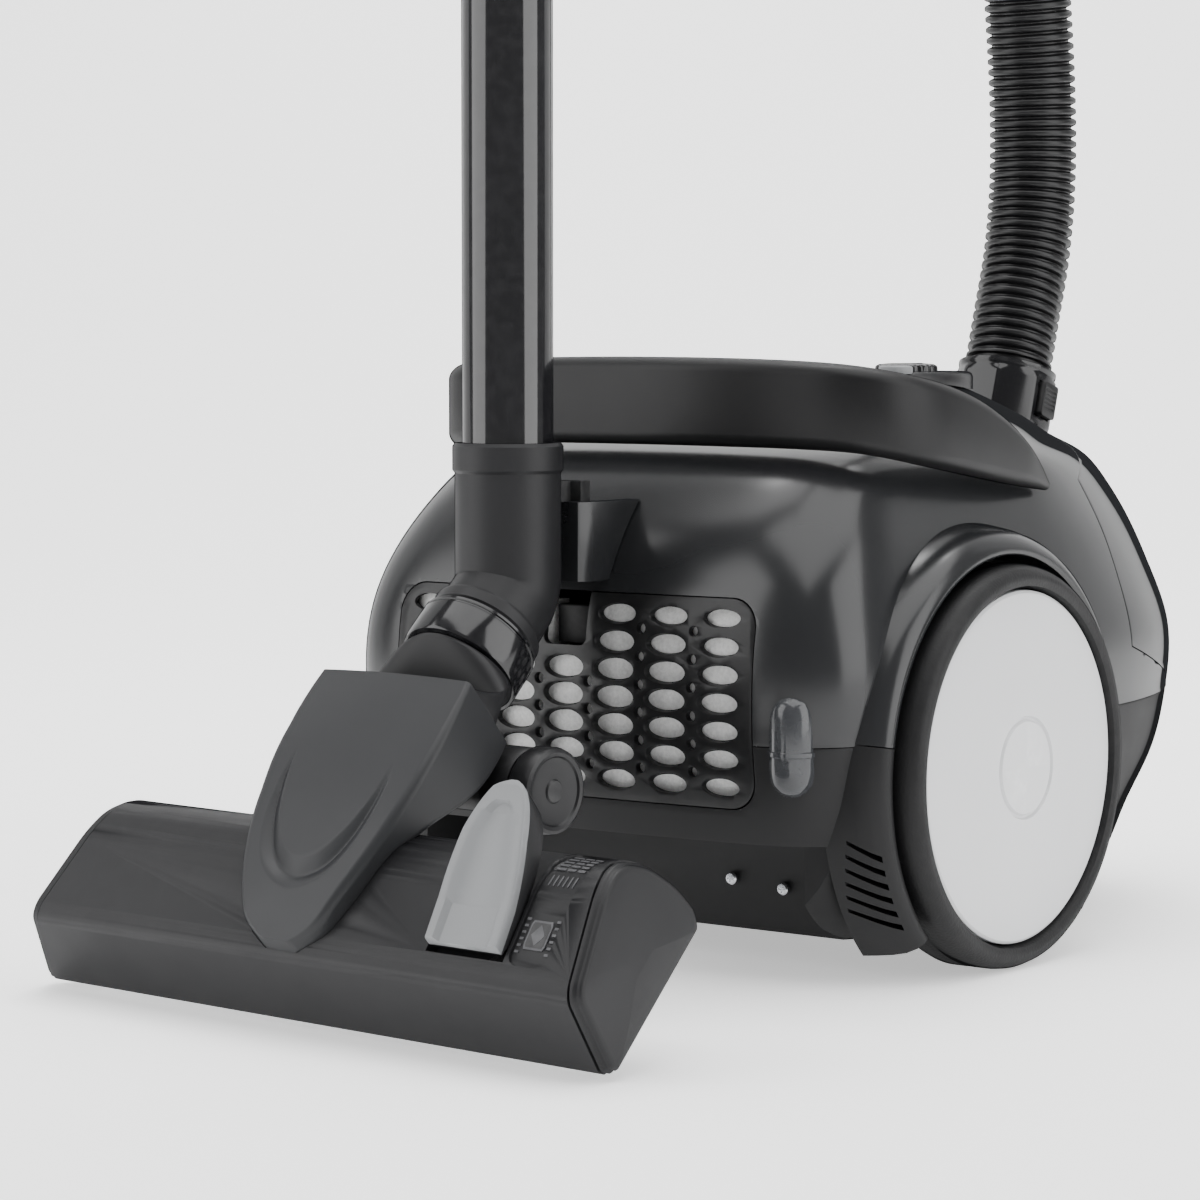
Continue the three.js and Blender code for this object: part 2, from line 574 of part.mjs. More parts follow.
function shieldSolid(shrink) {
  const wide = 40 - shrink;
  const rings = [
    { u: 118 - shrink, half: wide, low: 33, high: 67 - shrink, round: 3 },
    { u: 90, half: wide + 3, low: 35, high: 66 - shrink, round: 6 },
    { u: 60, half: wide, low: 44, high: 62 - shrink, round: 7 },
    { u: 34, half: wide - 8, low: 42, high: 56 - shrink, round: 7 },
    { u: 14, half: wide - 18, low: 38, high: 49 - shrink, round: 6 },
    { u: 5 + shrink, half: wide - 28, low: 36, high: 43 - shrink, round: 3 },
  ];
  return loft(rings.map((r) => {
    const low = r.low + shrink;
    const h = (r.high - low) / 2;
    const centre = (118 - r.u) * 0.1 - 6;
    return roundedBox(r.half, h, Math.min(r.round, h * 0.8)).map(([x, z]) => [centre + x, r.u, low + h + z]);
  }));
}

function pedalSolid() {
  const right = [[17, 14], [17.5, 30], [15, 48], [9.5, 62], [3, 70]];
  const outline = [...right, ...right.slice().reverse().map(([x, u]) => [-x, u])];
  const side = [[14, 41.5], [20, 41], [56, 51.5], [70, 56], [72, 66], [66, 70.5], [50, 64], [28, 52], [14, 46]];
  return plate(outline, 20, 90)
    .intersect(alongX(side, -40, 40))
    .translate([PEDAL_X, 0, 0]);
}

// The space between the head's two ends, drawn in by an inset at each.
function betweenEnds(inset) {
  const corners = HEAD_ENDS.flatMap(({ u, sole, top }) => [1, -1].flatMap((s) => [
    [s * (sole - inset) - 5 * END_LEAN, u, -5], [s * (top - inset) + 52 * END_LEAN, u, 52],
  ]));
  return wasm.Manifold.hull(corners);
}

function buildHead() {
  const shell = alongX(HEAD_PROFILE, -170, 170).intersect(betweenEnds(CAP + GAP));
  const cavity = alongX(HEAD_CAVITY, -170, 170).intersect(betweenEnds(CAP + GAP + 3));
  const pedalWell = box(PEDAL_X - 18.4, PEDAL_X + 18.4, 12, 80, 36, 90);
  const pedalFloor = box(PEDAL_X - 21, PEDAL_X + 21, 9, 78, 33, 60);
  const foot = shieldSolid(-GAP);
  const housing = shell
    .subtract(cavity.subtract(pedalFloor).subtract(box(-44, 44, 0, 80, 32, 60)))
    .subtract(pedalWell)
    .subtract(foot);
  piece("nozzle_housing", housing, MATTE(), head);
  const capProfile = HEAD_PROFILE.map(([u, n]) => [38 + (u - 38) * 0.985, 22 + (n - 22) * 0.97]);
  const cap = (low, high) => alongX(capProfile, low, high).intersect(betweenEnds(0)).subtract(betweenEnds(CAP));
  piece("head_end_right", cap(0, 170), SATIN(), head);
  piece("head_end_left", cap(-170, 0), SATIN(), head);
  const mouth = box(-112, 112, 30, 48, -5, 10);
  const tracks = union(box(-126, 126, 13.6, 18.4, -5, 10), box(-126, 126, 59.6, 64.4, -5, 10));
  const sole = box(-129.4, 129.4, 6, 70, 0.4, 3.4).subtract(mouth).subtract(tracks);
  piece("sole_plate", sole, STEEL(), head);
  piece("brush_front", box(-125, 125, 14, 18, 1, 12), RUBBER(), head);
  piece("brush_rear", box(-125, 125, 60, 64, 1, 12), RUBBER(), head);
  piece("neck_shield", shieldSolid(0).subtract(box(-30, 30, 84, 140, 0, 60)), SATIN(), head);
  piece("shoe_pedal", pedalSolid(), PEDAL_GREY(), head);
}

// The hood between the swivel ring and the rear edge of the shield: a circle running out to a rounded bar.
function buildNeckBase() {
  neck.updateMatrix();
  head.updateMatrix();
  const ringPoint = (r, s, t) => new THREE.Vector3(r * Math.cos(t), -r * Math.sin(t), s).applyMatrix4(neck.matrix);
  const barPoint = (halfX, halfN, t) => {
    const square = (v) => Math.sign(v) * Math.abs(v) ** 0.55;
    const x = halfX * square(Math.cos(t)) - 6;
    return new THREE.Vector3(x, BAR_U, 50 + halfN * square(Math.sin(t))).applyMatrix4(head.matrix);
  };
  const rings = [0, 0.06, 0.15, 0.3, 0.5, 0.75, 1].map((share) =>
    Array.from({ length: 32 }, (_, i) => {
      const t = (i / 32) * Math.PI * 2;
      const from = ringPoint(22, RING_END + GAP, t);
      const to = barPoint(38.5, 15.5, t);
      const flare = Math.sin((share * Math.PI) / 2) ** 0.6;
      return [from.x + (to.x - from.x) * flare, ...from.clone().lerp(to, share).toArray().slice(1)];
    }));
  const shieldClearance = shieldSolid(-GAP)
    .rotate([HEAD.pitch, 0, 0]).rotate([0, 0, HEAD.yaw]).translate([HEAD.x, HEAD.y, HEAD.z]);
  piece("neck_base", loft(rings).subtract(shieldClearance), MATTE());
}

function buildKnuckle() {
  const barrel = lyingX(rod(BARREL.r, -38, 38, 32)).translate([0, BARREL.u, BARREL.n]);
  const collar = (s) => lyingX(rod(15.6, 0, 14, 32)).translate([s > 0 ? 24 : -38, BARREL.u, BARREL.n]);
  const riser = box(-16, 16, BARREL.u - 9, BARREL.u + 14, BARREL.n, 40);
  piece("neck_knuckle", union(barrel, riser, bothSides(collar)), MATTE(), head);
  for (const s of [1, -1]) {
    const roller = lyingX(turned([[0, 0], [14.5, 0], [16.5, 2], [16.5, 9.6], [14.5, 11.6], [0, 11.6]], 32));
    const placed = roller.translate([s > 0 ? BARREL.in : -BARREL.out, BARREL.u, BARREL.n]);
    piece(s > 0 ? "roller_right" : "roller_left", placed, RUBBER(), head);
  }
}

buildCanister();
buildTop();
buildWheel(1);
buildWheel(-1);
buildCaster();
buildInside();
buildHose();
buildWand();
buildGrip();
buildNeck();
buildHead();
buildKnuckle();
buildNeckBase();

export default root;
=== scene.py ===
import math

import bmesh
import bpy
import numpy as np
from mathutils import Matrix, Vector


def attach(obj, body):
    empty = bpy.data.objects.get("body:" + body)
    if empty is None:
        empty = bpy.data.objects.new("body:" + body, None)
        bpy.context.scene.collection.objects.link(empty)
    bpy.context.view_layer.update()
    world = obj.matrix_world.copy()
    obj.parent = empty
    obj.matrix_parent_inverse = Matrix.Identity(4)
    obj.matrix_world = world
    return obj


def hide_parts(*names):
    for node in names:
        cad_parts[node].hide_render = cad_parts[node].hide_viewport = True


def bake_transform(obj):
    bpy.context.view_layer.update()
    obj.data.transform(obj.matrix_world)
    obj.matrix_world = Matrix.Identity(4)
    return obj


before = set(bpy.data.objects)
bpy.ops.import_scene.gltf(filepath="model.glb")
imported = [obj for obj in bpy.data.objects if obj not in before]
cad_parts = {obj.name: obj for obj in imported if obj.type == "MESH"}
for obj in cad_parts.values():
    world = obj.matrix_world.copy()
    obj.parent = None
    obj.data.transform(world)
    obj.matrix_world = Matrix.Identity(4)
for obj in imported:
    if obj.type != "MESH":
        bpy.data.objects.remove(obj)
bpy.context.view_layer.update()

RNG = np.random.default_rng(7)

# ---------- frames, in millimetres; the row frame is in metres ----------
SHIFT = np.array([-1.7, 19.0, 0.0])


def rot(axis, degrees):
    return np.array(Matrix.Rotation(math.radians(degrees), 3, axis))


class Place:
    """A local frame of the machine: turns local millimetres into row-frame metres."""

    def __init__(self, origin=(0, 0, 0), turn=None):
        self.origin = np.array(origin, float)
        self.turn = np.eye(3) if turn is None else turn

    def __call__(self, points):
        p = np.asarray(points, float).reshape(-1, 3)
        return (p @ self.turn.T + self.origin + SHIFT) / 1000.0


MACHINE = Place()
HEAD = Place((0, -270, 0.6), rot("Z", -4.4) @ rot("X", 39.5))
NECK = Place((0, -154, 154), rot("X", 133))
INLET = Place((0, 207, 204.5), rot("X", -17))
WAND = Place((0, -154, 0))
GRIP = Place((0, -154, 762))

# ---------- camera ----------
cam = bpy.data.objects.new("camera", bpy.data.cameras.new("camera"))
cam.data.lens = 114.3
cam.data.sensor_width = 36
cam.location = (0.9154, -1.2844, 0.259)
cam.rotation_euler = (math.radians(90 - 4.214), 0, math.radians(37.2))
bpy.context.scene.collection.objects.link(cam)
bpy.context.scene.camera = cam


# ---------- materials ----------
def nodes_of(name):
    mat = bpy.data.materials.new(name)
    mat.use_nodes = True
    tree = mat.node_tree
    return mat, tree, tree.nodes["Principled BSDF"]


def link(tree, a, b):
    tree.links.new(a, b)


def noise(tree, scale, detail=3.0, stretch=None):
    coords = tree.nodes.new("ShaderNodeTexCoord")
    out = coords.outputs["Object"]
    if stretch:
        mapping = tree.nodes.new("ShaderNodeMapping")
        mapping.inputs["Scale"].default_value = stretch
        link(tree, out, mapping.inputs["Vector"])
        out = mapping.outputs["Vector"]
    tex = tree.nodes.new("ShaderNodeTexNoise")
    tex.inputs["Scale"].default_value = scale
    tex.inputs["Detail"].default_value = detail
    link(tree, out, tex.inputs["Vector"])
    return tex.outputs["Fac"]


def remap(tree, value, low, high, a, b):
    node = tree.nodes.new("ShaderNodeMapRange")
    node.inputs["From Min"].default_value = low
    node.inputs["From Max"].default_value = high
    node.inputs["To Min"].default_value = a
    node.inputs["To Max"].default_value = b
    link(tree, value, node.inputs["Value"])
    return node.outputs["Result"]


def mix_colour(tree, fac, a, b):
    node = tree.nodes.new("ShaderNodeMix")
    node.data_type = "RGBA"
    node.inputs["A"].default_value = (*a, 1)
    node.inputs["B"].default_value = (*b, 1)
    link(tree, fac, node.inputs["Factor"])
    return node.outputs["Result"]


def finish_material(name, colour, rough, grain=2500.0, bump=0.02, wear=0.06, metal=0.0,
                    coat=0.0, spread=0.02, stretch=None, worn=None, mottle=0.07, spec=0.22):
    """Moulded or metal surface: mottled colour, varied roughness, fine grain bump and rubbed edges."""
    mat, tree, bsdf = nodes_of(name)
    c = np.array(colour, float)
    broad = noise(tree, 14.0, 4.0)
    tone = mix_colour(tree, remap(tree, broad, 0.3, 0.7, 0, 1), tuple(c * (1 - mottle)),
                      tuple(c * (1 + mottle)))
    geometry = tree.nodes.new("ShaderNodeNewGeometry")
    scuffs = noise(tree, 220.0, 5.0)
    edge = remap(tree, geometry.outputs["Pointiness"], 0.52, 0.60, 0, 1)
    rub = tree.nodes.new("ShaderNodeMath")
    rub.operation = "MULTIPLY"
    link(tree, edge, rub.inputs[0])
    link(tree, remap(tree, scuffs, 0.4, 0.65, 0.15, 1), rub.inputs[1])
    lift = tree.nodes.new("ShaderNodeMix")
    lift.data_type = "RGBA"
    lift.inputs["B"].default_value = (*(worn or tuple(np.clip(c + wear, 0, 1))), 1)
    link(tree, tone, lift.inputs["A"])
    link(tree, rub.outputs[0], lift.inputs["Factor"])
    link(tree, lift.outputs["Result"], bsdf.inputs["Base Color"])
    link(tree, remap(tree, noise(tree, 60.0, 5.0), 0.3, 0.7, max(0.02, rough - spread), rough + spread),
         bsdf.inputs["Roughness"])
    bsdf.inputs["Metallic"].default_value = metal
    facing = tree.nodes.new("ShaderNodeLayerWeight")
    facing.inputs["Blend"].default_value = 0.5
    link(tree, remap(tree, facing.outputs["Facing"], 0.4, 0.85, spec, 0.0), bsdf.inputs["Specular IOR Level"])
    bsdf.inputs["Coat Weight"].default_value = coat
    bsdf.inputs["Coat Roughness"].default_value = 0.08
    if bump:
        node = tree.nodes.new("ShaderNodeBump")
        node.inputs["Strength"].default_value = bump
        node.inputs["Distance"].default_value = 0.001
        link(tree, noise(tree, grain, 2.0, stretch), node.inputs["Height"])
        link(tree, node.outputs["Normal"], bsdf.inputs["Normal"])
    return mat


MAT = {
    "upper_gloss": finish_material("upper_gloss", (0.0125, 0.013, 0.014), 0.22, 90, 0.003, 0.002,
                                   spread=0.012, spec=0.4),
    "base_matte": finish_material("base_matte", (0.0085, 0.0085, 0.009), 0.48, 2600, 0.05, 0.001),
    "panel_satin": finish_material("panel_satin", (0.0075, 0.0075, 0.008), 0.3, 2600, 0.04, 0.003,
                                   spread=0.008, spec=0.3),
    "handle_matte": finish_material("handle_matte", (0.007, 0.007, 0.0075), 0.4, 2200, 0.05, 0.012),
    "satin_dark": finish_material("satin_dark", (0.012, 0.012, 0.013), 0.34, 2400, 0.06, 0.02, spec=0.28),
    "knob_black": finish_material("knob_black", (0.005, 0.005, 0.006), 0.12, 500, 0.003, 0.02, spread=0.008,
                                  spec=0.45),
    "button_grey": finish_material("button_grey", (0.20, 0.205, 0.21), 0.4, 2400, 0.06, 0.08),
    "disc_silver": finish_material("disc_silver", (0.60, 0.605, 0.615), 0.36, 3200, 0.05, 0.08, metal=0.12,
                                   mottle=0.02),
    "tyre": finish_material("tyre", (0.0075, 0.0075, 0.008), 0.5, 900, 0.14, 0.012),
    "steel": finish_material("steel", (0.52, 0.53, 0.55), 0.24, 300, 0.05, 0.1, metal=1.0, stretch=(1, 1, 12),
                             spec=0.5),
    "wand_black": finish_material("wand_black", (0.006, 0.006, 0.007), 0.09, 300, 0.003, 0.012, spread=0.006,
                                  stretch=(1, 1, 0.05), spec=0.6),
    "inner_plastic": finish_material("inner_plastic", (0.04, 0.04, 0.043), 0.45, 1500, 0.08, 0.03),
    "board": finish_material("board", (0.02, 0.09, 0.045), 0.4, 700, 0.1, 0.05),
    "connector_black": finish_material("connector_black", (0.005, 0.005, 0.006), 0.14, 400, 0.004, 0.012,
                                       spread=0.008, spec=0.42),
    "latch_black": finish_material("latch_black", (0.0095, 0.0095, 0.010), 0.4, 2300, 0.08, 0.015),
    "hose": finish_material("hose", (0.0065, 0.0065, 0.007), 0.33, 1500, 0.05, 0.012, spec=0.28),
    "neck_matte": finish_material("neck_matte", (0.0125, 0.0125, 0.0135), 0.42, 2600, 0.05, 0.003),
    "shield_satin": finish_material("shield_satin", (0.021, 0.0215, 0.023), 0.38, 2800, 0.04, 0.004),
    "head_matte": finish_material("head_matte", (0.0115, 0.0115, 0.0125), 0.45, 2800, 0.05, 0.001),
    "pedal_grey": finish_material("pedal_grey", (0.19, 0.195, 0.20), 0.36, 2400, 0.05, 0.08),
    "pedal_side": finish_material("pedal_side", (0.014, 0.014, 0.015), 0.4, 2400, 0.08, 0.015),
    "brush": finish_material("brush", (0.015, 0.015, 0.016), 0.7, 1800, 0.2, 0.03),
    "mark_grey": finish_material("mark_grey", (0.06, 0.06, 0.064), 0.5, 2400, 0.04, 0.03),
    "clip_black": finish_material("clip_black", (0.005, 0.005, 0.0055), 0.5, 2400, 0.05, 0.01),
}


def woven_material(name, colour, scale, rough=0.9, depth=0.35):
    """Fleece or filter paper: fine noise bump with fluff noise in the colour and roughness."""
    mat, tree, bsdf = nodes_of(name)
    c = np.array(colour, float)
    fluff = noise(tree, scale * 0.5, 6.0)
    tone = mix_colour(tree, remap(tree, fluff, 0.3, 0.7, 0, 1), tuple(c * 0.86),
                      tuple(np.clip(c * 1.06, 0, 1)))
    link(tree, tone, bsdf.inputs["Base Color"])
    link(tree, remap(tree, noise(tree, 80.0), 0.3, 0.7, rough - 0.06, rough + 0.04), bsdf.inputs["Roughness"])
    bump = tree.nodes.new("ShaderNodeBump")
    bump.inputs["Strength"].default_value = depth
    bump.inputs["Distance"].default_value = 0.001
    link(tree, noise(tree, scale, 5.0), bump.inputs["Height"])
    link(tree, bump.outputs["Normal"], bsdf.inputs["Normal"])
    return mat


MAT["filter"] = woven_material("filter", (0.88, 0.88, 0.87), 1400)
MAT["bag"] = woven_material("bag", (0.46, 0.38, 0.26), 500, 0.8)


def lens_material():
    mat, tree, bsdf = nodes_of("lens")
    tone = mix_colour(tree, remap(tree, noise(tree, 120.0, 4.0), 0.3, 0.7, 0, 1), (0.045, 0.047, 0.052),
                      (0.07, 0.073, 0.078))
    link(tree, tone, bsdf.inputs["Base Color"])
    link(tree, remap(tree, noise(tree, 60.0), 0.3, 0.7, 0.06, 0.16), bsdf.inputs["Roughness"])
    bsdf.inputs["Transmission Weight"].default_value = 0.35
    bsdf.inputs["IOR"].default_value = 1.46
    return mat


MAT["lens"] = lens_material()


# ---------- mesh building ----------
def add(name, points, faces, material, place=MACHINE, smooth=35.0):
    mesh = bpy.data.meshes.new(name)
    mesh.from_pydata([tuple(p) for p in place(points)], [], [tuple(int(i) for i in f) for f in faces])
    mesh.validate()
    obj = bpy.data.objects.new(name, mesh)
    bpy.context.scene.collection.objects.link(obj)
    mesh.materials.append(MAT[material])
    recalc(mesh)
    shade(obj, smooth)
    return obj


def recalc(mesh):
    bm = bmesh.new()
    bm.from_mesh(mesh)
    bmesh.ops.remove_doubles(bm, verts=bm.verts, dist=1e-7)
    bmesh.ops.recalc_face_normals(bm, faces=bm.faces)
    bm.to_mesh(mesh)
    bm.free()


def shade(obj, angle=35.0):
    mesh = obj.data
    mesh.polygons.foreach_set("use_smooth", [True] * len(mesh.polygons))
    mesh.set_sharp_from_angle(angle=math.radians(angle))
    mesh.update()


def loft(name, rings, material, place=MACHINE, caps=True, smooth=35.0, closed=False):
    rings = [np.asarray(r, float) for r in rings]
    n = len(rings[0])
    points = np.concatenate(rings)
    faces = []
    turns = len(rings) if closed else len(rings) - 1
    for i in range(turns):
        k = (i + 1) % len(rings)
        for j in range(n):
            m = (j + 1) % n
            faces.append((i * n + j, i * n + m, k * n + m, k * n + j))
    if caps and not closed:
        faces.append(tuple(range(n)))
        faces.append(tuple(range((len(rings) - 1) * n, len(rings) * n)))
    return add(name, points, faces, material, place, smooth)


def lathe(name, profile, material, place=MACHINE, axis="Z", at=(0, 0, 0), steps=96, smooth=35.0):
    """Turns (radius, height) pairs about an axis; a profile that starts off the axis closes on itself."""
    profile = [tuple(p) for p in profile]
    hollow = profile[0][0] > 1e-6
    rings = []
    for r, h in profile:
        t = np.linspace(0, 2 * math.pi, steps, endpoint=False)
        c, s = max(r, 1e-4) * np.cos(t), max(r, 1e-4) * np.sin(t)
        flat = np.full(steps, float(h))
        ring = {"Z": (c, s, flat), "X": (flat, c, s), "Y": (s, flat, c)}[axis]
        rings.append(np.stack(ring, 1) + np.array(at, float))
    return loft(name, rings, material, place, caps=not hollow, smooth=smooth, closed=hollow)


def prism(name, outline, low, high, material, place=MACHINE, axis="Z", at=(0, 0, 0), smooth=35.0):
    outline = np.asarray(outline, float)
    rings = []
    for h in (low, high):
        flat = np.full(len(outline), float(h))
        a, b = outline[:, 0], outline[:, 1]
        ring = {"Z": (a, b, flat), "X": (flat, a, b), "Y": (a, flat, b)}[axis]
        rings.append(np.stack(ring, 1) + np.array(at, float))
    return loft(name, rings, material, place, smooth=smooth)


def block(name, x0, x1, y0, y1, z0, z1, material, place=MACHINE):
    return prism(name, [(x0, y0), (x1, y0), (x1, y1), (x0, y1)], z0, z1, material, place)


def oval(rx, ry, steps=48, cx=0.0, cy=0.0):
    t = np.linspace(0, 2 * math.pi, steps, endpoint=False)
    return np.stack([cx + rx * np.cos(t), cy + ry * np.sin(t)], 1)


def rounded(half_x, half_y, r, cx=0.0, cy=0.0, steps=8):
    points = []
    for k, (sx, sy) in enumerate([(1, 1), (-1, 1), (-1, -1), (1, -1)]):
        for i in range(steps + 1):
            t = (k + i / steps) * math.pi / 2
            points.append((cx + sx * (half_x - r) + r * math.cos(t),
                           cy + sy * (half_y - r) + r * math.sin(t)))
    return np.array(points)


def boolean(obj, cutters, kind="DIFFERENCE"):
    for cutter in cutters:
        mod = obj.modifiers.new("cut", "BOOLEAN")
        mod.operation = kind
        mod.object = cutter
        mod.solver = "EXACT"
    bpy.context.view_layer.update()
    graph = bpy.context.evaluated_depsgraph_get()
    mesh = bpy.data.meshes.new_from_object(obj.evaluated_get(graph))
    obj.modifiers.clear()
    obj.data = mesh
    while len(mesh.materials) > 1:
        mesh.materials.pop()
    for poly in mesh.polygons:
        poly.material_index = 0
    for cutter in cutters:
        bpy.data.objects.remove(cutter)
    shade(obj)
    return obj


def bevel(obj, width=0.6, segments=2, angle=40.0):
    mod = obj.modifiers.new("edge", "BEVEL")
    mod.width = width / 1000.0
    mod.segments = segments
    mod.limit_method = "ANGLE"
    mod.angle_limit = math.radians(angle)
    mod.harden_normals = False
    bpy.context.view_layer.update()
    graph = bpy.context.evaluated_depsgraph_get()
    mesh = bpy.data.meshes.new_from_object(obj.evaluated_get(graph))
    obj.modifiers.clear()
    obj.data = mesh
    shade(obj, 50)
    return obj


def give(obj, body, slot, *replaced):
    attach(obj, body)
    if replaced:
        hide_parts(*replaced)
    return obj


def catmull(points, count):
    """Points evenly along a centripetal Catmull-Rom curve."""
    p = np.array(points, float)
    p = np.vstack([2 * p[0] - p[1], p, 2 * p[-1] - p[-2]])
    out = []
    for i in range(1, len(p) - 2):
        a, b, c, d = p[i - 1:i + 3]
        t0 = 0.0
        t1 = t0 + np.linalg.norm(b - a) ** 0.5
        t2 = t1 + np.linalg.norm(c - b) ** 0.5
        t3 = t2 + np.linalg.norm(d - c) ** 0.5
        for t in np.linspace(t1, t2, 40, endpoint=False):
            a1 = (t1 - t) / (t1 - t0) * a + (t - t0) / (t1 - t0) * b
            a2 = (t2 - t) / (t2 - t1) * b + (t - t1) / (t2 - t1) * c
            a3 = (t3 - t) / (t3 - t2) * c + (t - t2) / (t3 - t2) * d
            b1 = (t2 - t) / (t2 - t0) * a1 + (t - t0) / (t2 - t0) * a2
            b2 = (t3 - t) / (t3 - t1) * a2 + (t - t1) / (t3 - t1) * a3
            out.append((t2 - t) / (t2 - t1) * b1 + (t - t1) / (t2 - t1) * b2)
    out.append(p[-2])
    out = np.array(out)
    run = np.concatenate([[0], np.cumsum(np.linalg.norm(np.diff(out, axis=0), axis=1))])
    want = np.linspace(0, run[-1], count)
    return np.stack([np.interp(want, run, out[:, k]) for k in range(3)], 1)


def swept(name, path, section, material, place=MACHINE, smooth=35.0, caps=True):
    """section(i) gives the outline at path point i; the frame keeps local x sideways."""
    path = np.asarray(path, float)
    rings = []
    for i, p in enumerate(path):
        tangent = path[min(i + 1, len(path) - 1)] - path[max(i - 1, 0)]
        tangent /= np.linalg.norm(tangent)
        side = np.array([1.0, 0, 0])
        side -= tangent * (side @ tangent)
        side /= np.linalg.norm(side)
        up = np.cross(tangent, side)
        outline = np.asarray(section(i), float)
        rings.append(p + outline[:, :1] * side + outline[:, 1:] * up)
    return loft(name, rings, material, place, caps=caps, smooth=smooth)


# ---------- hose, made before the rest ----------
HOSE_ROUTE = [
    (0, 0.2359, 0.2371), (0, 0.243, 0.26), (0, 0.252, 0.29), (0, 0.2565, 0.322), (0, 0.256, 0.36),
    (0, 0.249, 0.42),
    (0, 0.235, 0.52), (0, 0.219, 0.64), (0, 0.199, 0.76), (0, 0.174, 0.88), (0, 0.137, 0.98),
    (0, 0.085, 1.036),
    (0, 0.023, 1.045), (0, -0.029, 1.012), (0, -0.0602, 0.9847),
]
HOSE_ROUTE = [(x - 0.0017, y, z) for x, y, z in HOSE_ROUTE]
HOSE_PITCH = 0.0049


def build_hose():
    rough_length = np.linalg.norm(np.diff(catmull(HOSE_ROUTE, 400), axis=0), axis=1).sum()
    rings = int(rough_length / HOSE_PITCH)
    per = 8
    path = catmull(HOSE_ROUTE, rings * per + 1)
    shape = np.array([0.0, 0.55, 0.95, 1.0, 1.0, 0.95, 0.55, 0.0])

    def section(i):
        r = 17.6 + 2.4 * shape[i % per]
        if i < 3 or i > rings * per - 3:
            r = 18.0
        return oval(r / 1000, r / 1000, 36)

    points = []
    for i, p in enumerate(path):
        tangent = path[min(i + 1, len(path) - 1)] - path[max(i - 1, 0)]
        tangent /= np.linalg.norm(tangent)
        side = np.array([1.0, 0, 0])
        up = np.cross(tangent, side)
        outline = section(i)
        points.append(p + outline[:, :1] * side + outline[:, 1:] * up)
    n = 36
    faces = []
    for i in range(len(points) - 1):
        for j in range(n):
            m = (j + 1) % n
            faces.append((i * n + j, i * n + m, (i + 1) * n + m, (i + 1) * n + j))
    faces.append(tuple(range(n)))
    faces.append(tuple(range((len(points) - 1) * n, len(points) * n)))
    mm = np.concatenate(points) * 1000 - SHIFT
    obj = add("hose_ribbed", mm, faces, "hose", smooth=60)
    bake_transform(obj)
    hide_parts("hose")


build_hose()

# ---------- canister body surface ----------
SECTIONS = [
    (15, 100, 74, 30, 205, 2.0), (22, 107, 86, 32, 218, 2.0), (45, 114, 101, 32, 239, 2.0),
    (70, 121, 111, 32, 254, 2.1), (96, 124, 115, 32, 262, 2.15), (125, 125, 115, 32, 262, 2.15),
    (150, 121, 111, 32, 259, 1.95), (171, 115, 101, 33, 254, 1.8), (188, 108, 88, 33, 249, 1.65),
    (200, 102, 74, 33, 238, 1.55), (207, 94, 58, 33, 219, 1.5), (214, 82, 30, 32, 198, 1.6),
    (221, 66, 0, 30, 181, 1.7), (227, 48, -18, 26, 167, 1.8), (231, 30, -36, 20, 154, 2.0),
    (233, 18, -42, 14, 144, 2.0),
]
WAIST = 60.0
AROUND = 168


def plan(side, rear, corner, nose, power, grow=0.0):
    side, rear, nose, corner = side + grow, rear + grow, nose + grow, max(4.0, corner + grow)
    half = []
    for t in np.linspace(0, math.pi / 2, 60):
        half.append((side * math.sin(t) ** (2 / power), WAIST + (nose - WAIST) * max(0,
                math.cos(t)) ** (2 / power)))
    for t in np.linspace(0, math.pi / 2, 20):
        half.append((side - corner + corner * math.cos(t), corner - rear - corner * math.sin(t)))
    for s in np.linspace(1, 0, 14)[1:]:
        half.append(((side - corner) * s, -rear - 4 * (1 - s * s)))
    half = np.array(half)
    loop = np.vstack([half, (half * [-1, 1])[::-1][1:-1]])
    closed = np.vstack([loop, loop[:1]])
    run = np.concatenate([[0], np.cumsum(np.linalg.norm(np.diff(closed, axis=0), axis=1))])
    want = np.linspace(0, run[-1], 480, endpoint=False)
    even = np.stack([np.interp(want, run, closed[:, k]) for k in range(2)], 1)
    step = run[-1] / 480
    reach = 30
    kernel = np.exp(-0.5 * (np.arange(-reach, reach + 1) * step / 9.0) ** 2)
    kernel /= kernel.sum()
    wrapped = np.vstack([even[-reach:], even, even[:reach]])
    smooth = np.stack([np.convolve(wrapped[:, k], kernel, "valid") for k in range(2)], 1)
    pick = np.linspace(0, 480, AROUND, endpoint=False).astype(int)
    return smooth[pick]


def natural_spline(knots, values, fine):
    """Natural cubic spline through rows of values."""
    n = len(knots)
    h = np.diff(knots)
    system = np.eye(n)
    right = np.zeros_like(values)
    for i in range(1, n - 1):
        system[i, i - 1:i + 2] = [h[i - 1], 2 * (h[i - 1] + h[i]), h[i]]
        right[i] = 6 * ((values[i + 1] - values[i]) / h[i] - (values[i] - values[i - 1]) / h[i - 1])
    second = np.linalg.solve(system, right)
    out = []
    for t in fine:
        i = min(max(np.searchsorted(knots, t) - 1, 0), n - 2)
        a, b = (knots[i + 1] - t) / h[i], (t - knots[i]) / h[i]
        out.append(a * values[i] + b * values[i + 1]
                   + ((a ** 3 - a) * second[i] + (b ** 3 - b) * second[i + 1]) * h[i] ** 2 / 6)
    return np.array(out)


